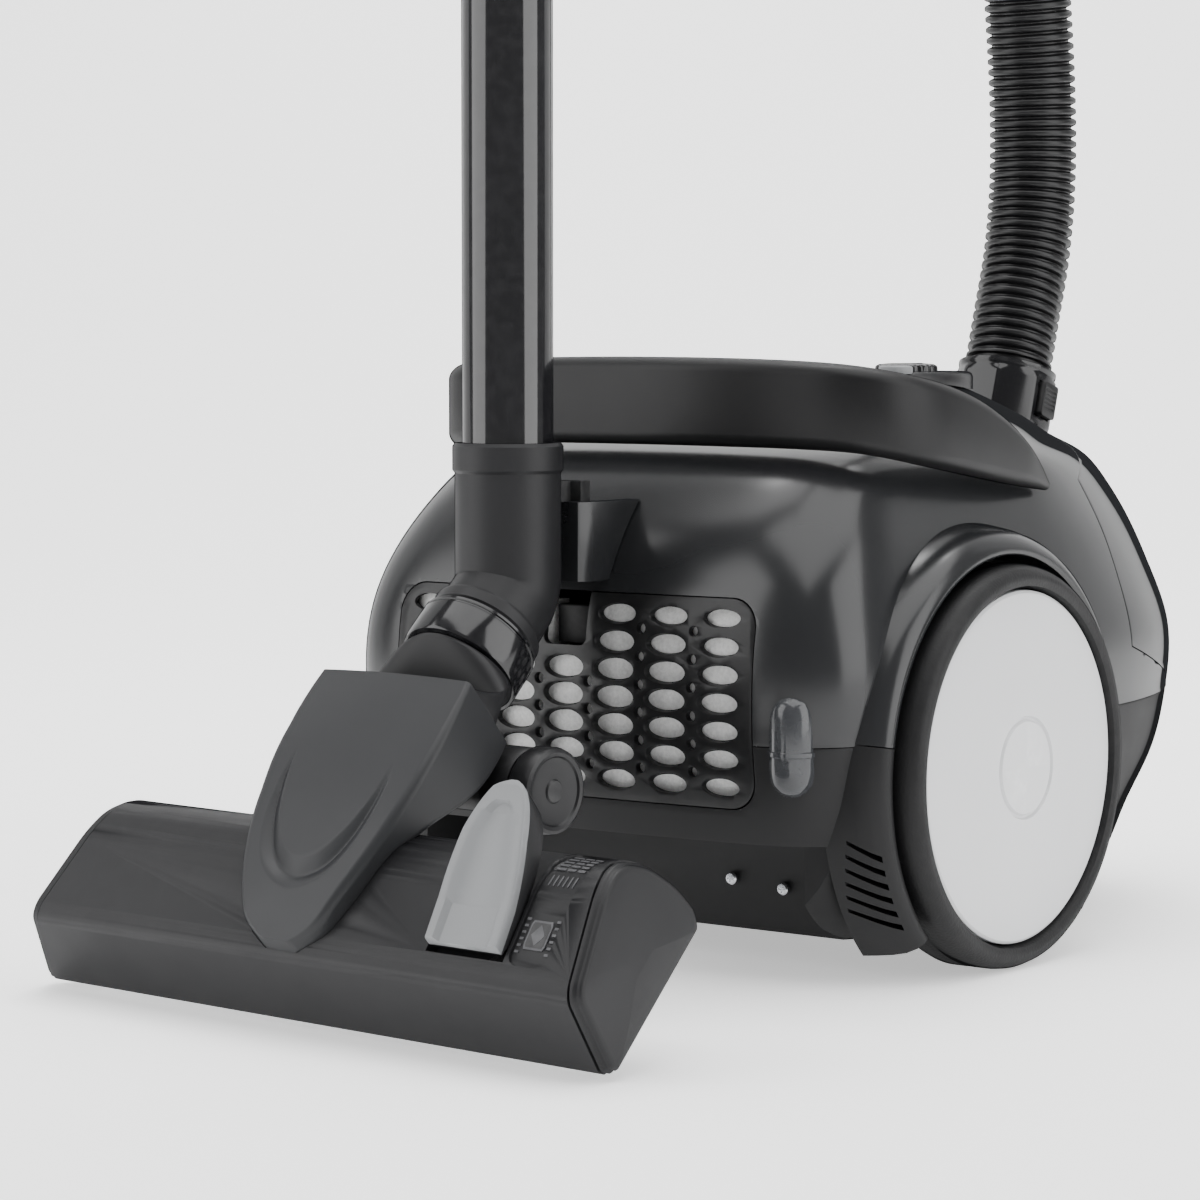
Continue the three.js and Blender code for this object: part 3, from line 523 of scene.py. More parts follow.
def body_rings(grow=0.0, lift=0.0, low=None, high=None, levels=90):
    loops = []
    for z, *rest in SECTIONS:
        xy = plan(*rest, grow)
        loops.append(np.hstack([xy, np.full((len(xy), 1), z + lift)]))
    loops = np.array(loops)
    gaps = np.linalg.norm(np.diff(loops, axis=0), axis=2).mean(axis=1)
    knots = np.concatenate([[0], np.cumsum(gaps)])
    rings = natural_spline(knots, loops.reshape(len(loops), -1), np.linspace(0, knots[-1], levels))
    rings = rings.reshape(levels, AROUND, 3)
    if low is not None:
        rings = rings[rings[:, 0, 2] > low + 0.5]
        first = rings[0].copy()
        first[:, 2] = low
        rings = np.concatenate([[first], rings])
    if high is not None:
        rings = rings[rings[:, 0, 2] < high - 0.5]
        last = rings[-1].copy()
        last[:, 2] = high
        rings = np.concatenate([rings, [last]])
    return list(rings)


def body_solid(name, material="upper_gloss", **how):
    return loft(name, body_rings(**how), material)


WHEEL_Z = 81.0


def well(s, r, inner):
    outline = oval(r, r, 128, 0, WHEEL_Z)
    low, high = (inner, 170) if s > 0 else (-170, -inner)
    return prism("well", outline, low, high, "base_matte", axis="X")


def grille_block(grow):
    return prism("grille_block", rounded(88 + grow, 40.5 + grow, 12, 0, 111.5), -145, -88, "base_matte",
                 axis="Y")


def recess_cut(grow):
    """The open space under the rear end, wider behind the wheels."""
    inner = block("recess", -95 - grow, 95 + grow, -150, -60 + grow, -5, 57 + grow, "base_matte")
    outer = block("recess", -110 - grow, 110 + grow, -151, -89 + grow, -6, 57 + grow + 0.001, "base_matte")
    return boolean(inner, [outer], "UNION")


def leg_vents(s):
    """Slanted slots in the rear face of the leg beside a wheel."""
    vents = []
    for k in range(6):
        z, inner = 27 + 5.6 * k, 111 + 1.2 * k
        outline = [(s * inner, z + 3.4), (s * 129.5, z - 3.4), (s * 129.5, z - 0.9), (s * inner, z + 5.0)]
        vents.append(prism("vent", outline, -120, -60, "base_matte", axis="Y"))
    return vents


def build_arch_lips():
    """Raised lips around the wheel arches; angles run from the front, over the top, to the rear."""
    profile = [(84.6, 108), (97.2, 108), (96.4, 114), (95.2, 121), (93.6, 126.5), (91, 130.4), (88, 132.4),
               (85.6, 132.9),
               (84.6, 132.2)]
    for s, side in ((1, "right"), (-1, "left")):
        for name, material, low, high in [("upper", "upper_gloss", 9.9, 170.1),
                                          ("rear", "base_matte", 170.4, 226.0),
                                          ("front", "base_matte", -46.0, 9.6)]:
            rings = []
            for t in np.radians(np.linspace(low, high, int((high - low) / 1.2))):
                rings.append([(s * x, r * math.cos(t), WHEEL_Z + r * math.sin(t)) for r, x in profile])
            lip = loft(f"arch_lip_{name}_{side}", rings, material, smooth=50)
            if name == "rear":
                boolean(lip, leg_vents(s))
                shade(lip, 50)
            give(lip, "canister", material)


def build_base():
    base = body_solid("lower_shell", "base_matte", high=96)
    hollow = body_solid("hollow", "base_matte", grow=-3, lift=3, high=110, levels=50)
    keep = [well(1, 87.5, 104), well(-1, 87.5, 104), recess_cut(3)]
    keep.append(lathe("pocket", [(0, 0), (40, 0), (40, 50), (0, 50)], "base_matte", at=(0, 175, 0)))
    boolean(hollow, keep)
    cuts = [hollow, well(1, 84.5, 107), well(-1, 84.5, 107), grille_block(0.5), recess_cut(0)]
    cuts.append(lathe("pocket", [(0, 0), (37, 0), (37, 47), (0, 47)], "base_matte", at=(0, 175, 0)))
    cuts.append(lathe("bore", [(0, -128), (6.4, -128), (6.4, 128), (0, 128)], "base_matte", axis="X",
                      at=(0, 0, WHEEL_Z)))
    boolean(base, cuts)
    bevel(base, 0.8)
    give(base, "canister", "base_matte", "base_shell")
    for k, (x, z) in enumerate([(66, 33), (41, 35)]):
        screw = lathe(f"screw_{k}", [(0, -60.5), (2.6, -60.5), (2.6, -62.2), (2.0, -62.8), (0, -62.95)],
                      "steel", axis="Y",
                      at=(x, 0, z), steps=32)
        cross = [block("x", x - 0.35, x + 0.35, -64, -62.4, z - 1.5, z + 1.5, "steel"),
                 block("y", x - 1.5, x + 1.5, -64, -62.4, z - 0.35, z + 0.35, "steel")]
        boolean(screw, cross)
        give(screw, "canister", "steel", "screw_outer" if k == 0 else "screw_inner")


LID_OUTLINE = [(186, 280), (186, 214), (112, 191), (120, 120), (205, 97), (300, 97), (300, 280)]


def lid_block(grow):
    outline = [(y + (grow if y < 250 else 0), z + (grow if z < 130 else 0)) for y, z in LID_OUTLINE]
    return prism("lid_block", outline, -160, 160, "upper_gloss", axis="X")


def notch(grow):
    return block("notch", -31 - grow, 31 + grow, 90, 242 + grow, 150, 290, "upper_gloss")


def shell_upper(name):
    shell = body_solid(name, "upper_gloss", low=96.4)
    inner = body_solid("inner", "upper_gloss", grow=-3, lift=-2.7, low=90, levels=60)
    boolean(inner, [well(1, 87.5, 104), well(-1, 87.5, 104)])
    return boolean(shell, [inner, well(1, 84.5, 107), well(-1, 84.5, 107)])


def inlet_bore(r):
    return lathe("inlet_bore", [(0, -60), (r, -60), (r, 60), (0, 60)], "upper_gloss", place=INLET, steps=80)


def build_upper():
    housing = shell_upper("upper_body")
    lid_cut = boolean(lid_block(0), [notch(-0.5)])
    cuts = [lid_cut, grille_block(0.5), inlet_bore(27.5),
            lathe("stem", [(0, 200), (5.4, 200), (5.4, 260), (0, 260)], "upper_gloss", at=(0, 130, 0))]
    boolean(housing, cuts)
    bevel(housing, 0.9)
    give(housing, "canister", "upper_gloss", "upper_housing")
    lid = shell_upper("front_lid")
    boolean(lid, [lid_block(0.5)], "INTERSECT")
    boolean(lid, [notch(0), block("latch_hole", -13.4, 13.4, 232, 270, 158.4, 178.4, "upper_gloss")])
    bevel(lid, 0.9)
    give(lid, "front_cover", "upper_gloss", "dust_lid")
    latch = body_solid("latch_plate", "satin_dark", grow=1.0)
    boolean(latch, [body_solid("latch_inner", grow=-2.2)])
    boolean(latch, [prism("latch_block", rounded(12.8, 9.3, 3, 0, 168.4), 232, 270, "satin_dark", axis="Y")],
            "INTERSECT")
    grooves = [block("groove", -9, 9, 240, 290, 162.4 + 3 * k, 163.4 + 3 * k, "satin_dark") for k in range(5)]
    thick = body_solid("groove_inner", grow=0.4)
    for g in grooves:
        boolean(g, [duplicate(thick)])
    bpy.data.objects.remove(thick)
    boolean(latch, grooves)
    bevel(latch, 0.4)
    give(latch, "cover_latch", "satin_dark", "lid_latch")


def duplicate(obj):
    copy = obj.copy()
    copy.data = obj.data.copy()
    bpy.context.scene.collection.objects.link(copy)
    return copy


def build_grille():
    panel = body_solid("exhaust_panel", "panel_satin", grow=0.0, low=60, high=165)
    boolean(panel, [body_solid("panel_inner", grow=-2.6, low=50, high=175)])
    boolean(panel, [grille_block(0)], "INTERSECT")
    holes = [(8.3, 3.4, c * 24.3, 144.5 - r * 10.9) for c in range(-3, 4) for r in range(0 if c else 2, 7)]
    for c in (-2.5, -1.5, -0.5, 0.5, 1.5, 2.5):
        holes += [(1.9, 1.9, c * 24.3, 144.5 - (r + 0.5) * 10.9) for r in range(2 if abs(c) < 1 else 0, 6)]
    cuts = []
    for rx, rz, x, z in holes:
        sizes = [(-113.5, 0.0), (-121, 2.0)] if rx > 3 else [(-114, 0.0), (-120, 0.4)]
        rings = [[(a, y, b) for a, b in oval(rx + more, rz + more, 36, x, z)] for y,
                 more in [(-95, 0.0)] + sizes]
        cuts.append(loft("hole", rings, "base_matte"))
    boolean(panel, [join("grille_holes", cuts)])
    boolean(panel, [prism("notch", rounded(10.4, 14, 3, 0, 145), -140, -95, "base_matte", axis="Y")])
    bevel(panel, 0.7, 2, 50)
    give(panel, "canister", "base_matte", "exhaust_grille")
    felt = body_solid("filter_felt", "filter", grow=-4.2, low=60, high=165)
    boolean(felt, [block("felt_block", -82.8, 82.8, -130, -99.4, 75.4, 147.8, "filter")], "INTERSECT")
    boolean(felt, [block("clip_room", -12, 12, -130, -98, 128, 150, "filter")])
    give(felt, "canister", "filter", "exhaust_filter")
    clip = block("panel_clip", -8.6, 8.6, -111.4, -100, 131, 146.5, "clip_black")
    bevel(clip, 0.8)
    give(clip, "canister", "base_matte")


def join(name, objects):
    graph_points, graph_faces = [], []
    base = 0
    for o in objects:
        graph_points += [tuple(v.co) for v in o.data.vertices]
        graph_faces += [tuple(i + base for i in p.vertices) for p in o.data.polygons]
        base = len(graph_points)
    mesh = bpy.data.meshes.new(name)
    mesh.from_pydata(graph_points, [], graph_faces)
    mesh.materials.append(objects[0].data.materials[0])
    for o in objects:
        bpy.data.objects.remove(o)
    obj = bpy.data.objects.new(name, mesh)
    bpy.context.scene.collection.objects.link(obj)
    shade(obj)
    return obj


def build_lens():
    profile = [(0, 75), (3, 75.3), (6, 77.2), (8.2, 80.4), (9, 84.5), (9, 90.6), (9.5, 91), (9.5, 92.6),
               (9, 93),
               (9, 105.4), (8.4, 109), (6.8, 112), (4, 114.2), (0, 115)]
    lens = lathe("corner_capsule", profile, "lens", at=(102, -108, 2), steps=64)
    boolean(lens, [body_solid("lens_inner", grow=0.3)])
    give(lens, "canister", "lens", "corner_lens")


# ---------- handle and console ----------
HANDLE = [
    (112, 63, 188.5, 193, 5), (114, 42, 190.5, 208, 11), (115, 15, 194, 222, 14),
    (115.5, -16, 198.5, 232, 14),
    (112, -40, 202.6, 237, 14), (101, -56, 206.2, 240.4, 14), (80, -62.5, 207.8, 242.4, 14),
    (45, -65, 208.4, 243.6, 14),
    (0, -66, 208.6, 244, 14),
]


def build_handle():
    right = np.array(HANDLE, float)
    whole = np.vstack([right, (right[:-1] * [-1, 1, 1, 1, 1])[::-1]])
    run = np.concatenate([[0], np.cumsum(np.linalg.norm(np.diff(whole[:, :2], axis=0), axis=1))])
    fine = natural_spline(run, whole, np.linspace(0, run[-1], 150))
    rings = []
    for i, (x, y, low, high, thick) in enumerate(fine):
        d = fine[min(i + 1, len(fine) - 1), :2] - fine[max(i - 1, 0), :2]
        d /= np.linalg.norm(d)
        out = np.array([d[1], -d[0]]) * (-1 if i >= 0 else 1)
        h = max((high - low) / 2, 1.2)
        w = max(thick / 2, 1.5)
        r = min(5.5, h * 0.9, w * 0.9)
        outline = rounded(w, h, r, steps=6)
        bulge = 1.6 * (1 - (outline[:, 1] / h) ** 2) * (outline[:, 0] > 0) * min(1.0, h / 10)
        a = outline[:, 0] - np.where(outline[:, 0] > 0, 1.6, 0) + bulge
        rings.append(np.stack([x + out[0] * a, y + out[1] * a, (low + high) / 2 + outline[:, 1]], 1))
    band = loft("handle_band", rings, "handle_matte", smooth=60)
    boolean(band, [body_solid("handle_inner", grow=0.5, lift=0.6)])
    shade(band, 60)
    give(band, "canister", "handle_matte", "carry_handle")


def build_console():
    island = loft("console", [
        np.hstack([oval(31 - g, 40 - g, 72, 0, 122), np.full((72, 1), z)])
        for z, g in [(212, 0), (233.6, 0), (235, 0.5), (235.8, 1.5), (236, 3)]
    ], "satin_dark")
    cuts = [body_solid("console_inner", grow=0.5, lift=0.8),
            lathe("knob_pocket", [(0, 200), (14.8, 200), (14.8, 260), (0, 260)], "satin_dark",
                  at=(0, 130, 0)),
            prism("pa", oval(8.5, 6.5, 48, -15, 98), 200, 260, "satin_dark"),
            prism("pb", oval(8.5, 6.5, 48, 15, 98), 200, 260, "satin_dark")]
    boolean(island, cuts)
    bevel(island, 0.5)
    give(island, "canister", "satin_dark", "control_console")
    ribs = oval(14.0, 14.0, 144)
    t = np.arange(144)
    scallop = np.where((t // 3) % 2 == 0, 1.0, 0.955)[:, None]
    knob = loft("turning_knob", [np.hstack([ribs * f * (scallop if s else 1), np.full((144, 1), z)]) for z, f,
                                 s in
                                 [(234.4, 1.0, 0), (235, 1.0, 1), (238, 0.985, 1), (238.6, 0.95, 0),
                                  (239.2, 0.86, 0),
                                  (239.5, 0.6, 0), (239.3, 0.2, 0)]], "knob_black", smooth=40)
    for v in knob.data.vertices:
        v.co += Vector(MACHINE((0, 130, 0))[0]) - Vector(MACHINE((0, 0, 0))[0])
    pointer = prism("pointer", [(-0.9, 135), (0.9, 135), (0.9, 142), (-0.9, 142)], 238.6, 239.6,
                    "button_grey")
    give(knob, "knob", "knob_black", "power_knob")
    give(pointer, "knob", "button_grey")
    for x, body, slot, node in [(15, "power_switch", "button_grey", "power_button"),
                                (-15, "rewind_switch", "satin_dark", "rewind_button")]:
        rings = [np.hstack([oval(8 * f, 6 * f, 48, x, 98), np.full((48, 1), z)]) for z, f in
                 [(235.3, 1), (238.0, 1), (238.6, 0.94), (238.9, 0.8), (238.7, 0.5), (238.5, 0.2)]]
        button = loft(node + "_cap", rings, slot, smooth=50)
        give(button, body, slot, node)


# ---------- running gear ----------
def build_wheels():
    tyre = [(71.4, 114), (78, 114), (80, 115.4), (81, 118), (81, 123), (80.4, 124), (80.4, 126), (81, 127),
            (81, 133),
            (80.6, 136), (79.2, 138.8), (76.8, 140.6), (74.5, 140.8), (72.4, 139.8), (71.4, 137.4)]
    disc = [(6.6, 111), (14, 111), (14, 133), (69, 133), (70.4, 134), (70.8, 136), (70.5, 137.6),
            (69.4, 138.4),
            (67, 138.8), (50, 139.9), (30, 140.6), (20.8, 140.85), (20.2, 139.8), (19.2, 139.8),
            (18.4, 140.9),
            (8, 141), (0.0, 141), (0, 131), (6.6, 131)]
    for s, name in ((1, "right"), (-1, "left")):
        t = lathe(f"tyre_{name}_ring", [(r, s * x) for r, x in tyre], "tyre", axis="X", at=(0, 0, WHEEL_Z),
                  steps=160)
        give(t, f"wheel_{name}", "tyre", f"tyre_{name}")
        rings = []
        for r, x in disc:
            a = np.linspace(0, 2 * math.pi, 160, endpoint=False)
            rings.append(np.stack([np.full(160, s * x), max(r, 0.01) * np.cos(a),
                                   WHEEL_Z + max(r, 0.01) * np.sin(a)], 1))
        d = loft(f"disc_{name}", rings, "disc_silver", closed=True, smooth=25)
        give(d, f"wheel_{name}", "disc_silver", f"wheel_disc_{name}")
        a = lathe(f"axle_{name}_pin", [(0, s * 97), (5.4, s * 97), (6, s * 97.6), (6, s * 128.4),
                                       (5.4, s * 129), (0, s * 129)],
                  "steel", axis="X", at=(0, 0, WHEEL_Z), steps=48)
        give(a, "canister", "steel", f"axle_{name}")


def build_caster():
    y = 161
    fork = lathe("caster_plate", [(0, 40.5), (22.6, 40.5), (24, 41.6), (24, 44.8), (23, 45.8), (5, 45.8),
                                  (5, 52), (0, 52)],
                 "inner_plastic", at=(0, 175, 0))
    cheeks = []
    for x0, x1 in ((9.5, 13), (-13, -9.5)):
        outline = [(y + 6 * math.cos(t), 17 + 6 * math.sin(t)) for t in np.linspace(math.pi, 2 * math.pi, 16)]
        outline += [(189, 41.4), (155, 41.4)]
        cheeks.append(prism("cheek", outline, x0, x1, "inner_plastic", axis="X"))
    boolean(fork, cheeks, "UNION")
    boolean(fork, [lathe("bore", [(0, -20), (3.4, -20), (3.4, 20), (0, 20)], "inner_plastic", axis="X",
                         at=(0, y, 17))])
    bevel(fork, 0.5)
    give(fork, "caster_swivel", "inner_plastic", "caster_fork")
    wheel = lathe("caster_tread", [(3.5, -8.6), (12, -8.6), (12.6, -7.8), (14.4, -8.4), (16.4, -7.4),
                                   (17, -5.6),
                                   (17, 5.6), (16.4, 7.4), (14.4, 8.4), (12.6, 7.8), (12, 8.6), (3.5, 8.6)],
                  "tyre", axis="X", at=(0, y, 17), steps=72)
    give(wheel, "caster_roll", "tyre", "caster_wheel")
    pin = lathe("caster_pin", [(0, -12.5), (2.6, -12.5), (3, -12), (3, 12), (2.6, 12.5), (0, 12.5)], "steel",
                axis="X",
                at=(0, y, 17), steps=32)
    give(pin, "caster_swivel", "steel", "caster_axle")


# ---------- inlet, connector and its latches ----------
def build_connector():
    collar = lathe("inlet_bezel", [(22.5, -16), (27, -16), (27, -1.6), (26.4, -0.5), (25.2, 0), (23.6, -0.2),
                                   (22.5, -1.4)],
                   "satin_dark", INLET)
    give(collar, "canister", "satin_dark", "inlet_collar")
    profile = [(18, -16), (22, -16), (22, 0.4), (23.4, 0.9), (23.4, 3.2), (22.6, 3.8), (22.6, 4.6),
               (23.6, 5.4), (24, 7),
               (24, 26.4), (23.5, 28.6), (22.3, 29.6), (22.3, 30.8), (22.6, 31.4), (22.6, 33), (21.8, 33.4),
               (18, 33.4)]
    rings = []
    for r, h in profile:
        t = np.linspace(0, 2 * math.pi, 96, endpoint=False)
        facet = np.cos(math.pi / 8) / np.cos((t + math.pi / 8) % (math.pi / 4) - math.pi / 8)
        share = np.clip((r - 22.6) / 1.4, 0, 1)
        radius = r * (1 - share * 0.7 * (1 - facet * 1.0) - share * 0.02)
        rings.append(np.stack([radius * np.cos(t), radius * np.sin(t), np.full(96, h)], 1))
    spout = loft("connector_spout", rings, "connector_black", INLET, closed=True, smooth=28)
    pockets = [prism("pocket", [(-6.4, 9.6), (6.4, 9.6), (6.4, 26.4), (-6.4, 26.4)], low, high,
                     "connector_black",
                     INLET, axis="X") for low, high in ((19.4, 30), (-30, -19.4))]
    boolean(spout, pockets)
    bevel(spout, 0.35)
    give(spout, "connector", "connector_black", "hose_connector")
    for s, name in ((1, "right"), (-1, "left")):
        outline = rounded(5.9, 7.9, 1.6, 0, 18)
        low, high = (21.5, 25.4) if s > 0 else (-25.4, -21.5)
        key = prism(f"latch_{name}_key", outline, low, high, "latch_black", INLET, axis="X")
        face = 25.4 * s
        grooves = [prism("g", [(-4.4, 14 + 2 * k), (4.4, 14 + 2 * k), (4.4, 14.9 + 2 * k),
                               (-4.4, 14.9 + 2 * k)],
                         min(face - 0.5 * s, face + s), max(face - 0.5 * s, face + s), "latch_black", INLET,
                         axis="X")
                   for k in range(5)]
        boolean(key, grooves)
        bevel(key, 0.3)
        give(key, f"latch_{name}", "latch_black", f"connector_latch_{name}")


# ---------- wand and grip ----------
def build_wand():
    lower = lathe("wand_outer", [(15.6, 194), (17.3, 194), (17.6, 194.4), (17.6, 719.4), (17.2, 720),
                                 (15.6, 720)],
                  "wand_black", WAND, steps=128)
    give(lower, "canister", "wand_black", "wand_lower_tube")
    upper = lathe("wand_inner", [(13, 250), (14.6, 250), (15, 250.6), (15, 791.4), (14.6, 792), (13, 792)],
                  "steel", WAND,
                  steps=96)
    give(upper, "wand_upper", "steel", "wand_upper_tube")
    profile = [(18, 690), (21.2, 690), (22.2, 691), (22.5, 693), (22.5, 698), (21.9, 699), (21.9, 715),
               (22.5, 716)]
    for k in range(5):
        profile += [(22.5, 717.5 + 2.4 * k), (21.9, 718.1 + 2.4 * k), (21.9, 718.9 + 2.4 * k),
                    (22.5, 719.5 + 2.4 * k)]
    profile += [(22.5, 731.6), (21.8, 733.4), (20.4, 734), (15.6, 734), (15.6, 721.2), (18, 720.8)]
    sleeve = lathe("wand_sleeve", profile, "satin_dark", WAND, steps=96)
    boolean(sleeve, [block("w", -6.4, 6.4, 10, 40, 695.6, 716.4, "satin_dark", WAND)])
    give(sleeve, "canister", "satin_dark", "wand_lock_sleeve")
    key = prism("wand_key", rounded(5.9, 9.9, 2.4, 0, 706), 19.7, 25.4, "latch_black", WAND, axis="Y")
    boolean(key, [prism("g", [(-4, 700 + 2.4 * k), (4, 700 + 2.4 * k), (4, 701.2 + 2.4 * k),
                              (-4, 701.2 + 2.4 * k)], 24.7, 27,
                        "latch_black", WAND, axis="Y") for k in range(6)])
    bevel(key, 0.4)
    give(key, "wand_lock", "latch_black", "wand_lock_button")


def build_grip():
    spine = catmull([(0, 0, 0), (0, 0, 60), (0, 4, 110), (0, 22, 160), (0, 49, 200), (0, 74, 222)], 80)

    def section(i):
        s = i / 79
        r = 19.9 - 1.5 * math.exp(-((s - 0.32) / 0.14) ** 2) - (0.8 if i in (0, 79) else 0)
        return oval(r, r, 72)

    grip = swept("grip_body", spine, section, "handle_matte", GRIP, smooth=60)
    loop = swept("grip_loop", catmull([(0, -12, 28), (0, -42, 52), (0, -50, 100), (0, -26, 160),
                                       (0, 22, 186)], 60),
                 lambda i: oval(9.9, 9.2, 40), "handle_matte", GRIP, smooth=60)
    boolean(grip, [loop], "UNION")
    cuts = [lathe("socket", [(0, -5), (15.4, -5), (15.4, 30.4), (0, 30.4)], "handle_matte", GRIP),
            block("slot", -8.4, 8.4, 12, 30, 69.6, 96.4, "handle_matte", GRIP)]
    cuts += [lathe("groove", [(19.2, 6 + 4 * k), (22, 6 + 4 * k), (22, 7 + 4 * k), (19.2, 7 + 4 * k)],
                   "handle_matte", GRIP)
             for k in range(5)]
    boolean(grip, cuts)
    give(grip, "wand_upper", "handle_matte", "grip_handle")
    slider = prism("air_key", rounded(7.9, 9.9, 2, 0, 80), 12.6, 22.3, "satin_dark", GRIP, axis="Y")
    boolean(slider, [block("g", -6, 6, 21.6, 25, 73 + 2.6 * k, 74.2 + 2.6 * k, "satin_dark",
                           GRIP) for k in range(6)])
    bevel(slider, 0.5)
    give(slider, "air_valve", "satin_dark", "air_slider")


# ---------- neck: elbow, glossy ring, parking bracket ----------
def build_neck():
    slope = np.array([0.0, -0.7314, -0.6820])
    turn = np.array([0.0, 0.0, 154.0])
    bend = 7.0
    path = [(0, 0, z) for z in np.linspace(211.6, 154 + bend, 40)]
    start, end = np.array([0, 0, 154 + bend]), turn + slope * bend
    for t in np.linspace(0, 1, 26)[1:-1]:
        path.append(tuple((1 - t) ** 2 * start + 2 * t * (1 - t) * turn + t * t * end))
    tail_start = len(path)
    path += [tuple(turn + slope * s) for s in np.linspace(bend, 24, 28)]

    def section(i):
        z = path[i][2]
        r = 20.6
        if i < 40:
            r = 21.5 if 200.5 < z < 210.6 else 20.6
        if i >= tail_start:
            s = bend + (24 - bend) * (i - tail_start) / 27
            r = 20.6 + 2.0 * min(1.0, max(0.0, (s - 17.0) / 0.8))
            if s > 23.2:
                r = 21.9
        return oval(r, r, 96)

    elbow = swept("elbow_shell", path, section, "neck_matte", WAND, smooth=40)
    boolean(elbow, [lathe("bore", [(0, 193.6), (18, 193.6), (18, 260), (0, 260)], "neck_matte", WAND,
                          steps=96)])
    shade(elbow, 30)
    give(elbow, "canister", "neck_matte", "neck_elbow")
    ring = lathe("glossy_ring", [(17, 24.4), (23.4, 24.4), (23.9, 24.9), (23.9, 25.9), (23.4, 26.3),
                                 (23.4, 26.9), (24, 27.5),
                                 (24, 40.4), (23.6, 41.6), (22.6, 42), (17, 42)], "knob_black", NECK,
                                 steps=128, smooth=30)
    give(ring, "nozzle_neck", "knob_black", "swivel_ring")


def build_hood():
    """The hood between the glossy ring and the rear edge of the shield."""
    rings = []
    for share in np.linspace(0, 1, 26):
        ring = []
        for t in np.linspace(0, 2 * math.pi, 96, endpoint=False):
            start = NECK((21.9 * math.cos(t), -21.9 * math.sin(t), 42.5))[0]
            square = lambda v: math.copysign(abs(v) ** 0.55, v)
            end = HEAD((38.3 * square(math.cos(t)) - 6, 118.7, 50 + 15.3 * square(math.sin(t))))[0]
            flare = math.sin(share * math.pi / 2) ** 0.6
            ring.append([start[0] + (end[0] - start[0]) * flare,
                         *(start[1:] * (1 - share) + end[1:] * share)])
        rings.append(np.array(ring) * 1000 - SHIFT)
    hood = loft("neck_hood", rings, "neck_matte", smooth=50)
    boolean(hood, [loft("shield_gap", shield_rings(-0.5), "neck_matte", HEAD)])
    bevel(hood, 0.5)
    give(hood, "nozzle_neck", "neck_matte", "neck_base")


def build_bracket():
    hook = join_solids("hook_tab", [
        block("a", -5.9, 5.9, -133.0, -116, 168.1, 195.9, "latch_black"),
        block("b", -10.9, 10.9, -122, -116.1, 168.1, 195.9, "latch_black")])
    boolean(hook, [lathe("n", [(0, 100), (21.2, 100), (21.2, 300), (0, 300)], "latch_black", WAND, steps=96),
                   body_solid("hook_inner", grow=0.5, lift=0.5)])
    bevel(hook, 0.5)
    give(hook, "canister", "latch_black", "parking_hook")
    socket = prism("socket_bracket", [(-18, -80), (18, -80), (18, -125), (15.5, -129.9), (-15.5, -129.9),
                                      (-18, -125)],
                   157, 188, "upper_gloss")
    boolean(socket, [block("a", -6.5, 6.5, -140, -115, 167.5, 200, "upper_gloss"),
                     block("b", -11.5, 11.5, -122.5, -80, 167.5, 200, "upper_gloss"),
                     body_solid("socket_inner", grow=0.5, lift=0.5)])
    bevel(socket, 0.7, 3)
    give(socket, "canister", "upper_gloss", "parking_socket")


def join_solids(name, objects):
    first = objects[0]
    boolean(first, objects[1:], "UNION")
    first.name = name
    return first


# ---------- floor head ----------
PROFILE = [(2, 0), (72, 0), (76, 5), (75, 18), (69, 34), (60, 45), (51, 49.5), (40, 49), (7, 39), (3, 35),
           (0, 3)]
PROFILE_ROUND = [0.8, 1.5, 3, 8, 10, 9, 8, 12, 4, 3, 1.2]


def soften(points, radii, steps=6, squeeze=1.0, centre=(38, 22)):
    """Rounds each corner of an outline with a small curve."""
    points = np.array(points, float)
    out = []
    n = len(points)
    for i in range(n):
        a, b, c = points[i - 1], points[i], points[(i + 1) % n]
        back, ahead = a - b, c - b
        r = min(radii[i], 0.45 * np.linalg.norm(back), 0.45 * np.linalg.norm(ahead))
        p, q = b + back / np.linalg.norm(back) * r, b + ahead / np.linalg.norm(ahead) * r
        for t in np.linspace(0, 1, steps):
            out.append((1 - t) ** 2 * p + 2 * t * (1 - t) * b + t * t * q)
    out = np.array(out)
    return (out - centre) * squeeze + centre


# Half length of the head at a distance u behind its front edge, along the sole and at the top.
HEAD_ENDS = np.array([(-4, 148.2, 141.5), (28, 148.6, 135), (50, 146.5, 130.5), (80, 139.5, 121)])
ENDS_U = np.linspace(-4, 80, 60)
ENDS_HALF = natural_spline(HEAD_ENDS[:, 0], HEAD_ENDS[:, 1:], ENDS_U)


def end_x(side, u, n, inset=0.0):
    """Where the head's slanted, slightly bowed end lies."""
    sole, top = (np.interp(u, ENDS_U, ENDS_HALF[:, k]) for k in (0, 1))
    return side * (sole + (top - sole) * (n + 5) / 57.0 - inset) + 0.2 * n


def head_loft(name, outline_at, material, inset):
    """Runs an outline from one end of the head to the other; the ends are closed by shrinking rings."""
    rings = []
    for side, squeeze in [(-1, 0.3), (-1, 0.7), (-1, 1), (1, 1), (1, 0.7), (1, 0.3)]:
        rings.append([(end_x(side, u, n, inset), u, n) for u, n in outline_at(squeeze)])
    return loft(name, rings, material, HEAD, smooth=40)


CROWN = 1.2


SHIELD_ROWS = np.array([(118, 40, 33, 67, 3), (90, 43, 35, 66, 6), (60, 40, 44, 62, 7), (34, 32, 42, 56, 7),
                        (17, 23.5, 38, 50, 6), (9, 16, 37, 45.4, 5), (5, 8, 36, 43, 3)], float)
SCOOP = [(-28, 78), (-27, 62), (-22, 46), (-13, 33.5), (0, 28), (12, 32), (21, 44), (26, 60), (27, 76)]


def shield_centre(u):
    return (118 - u) * 0.1 - 6


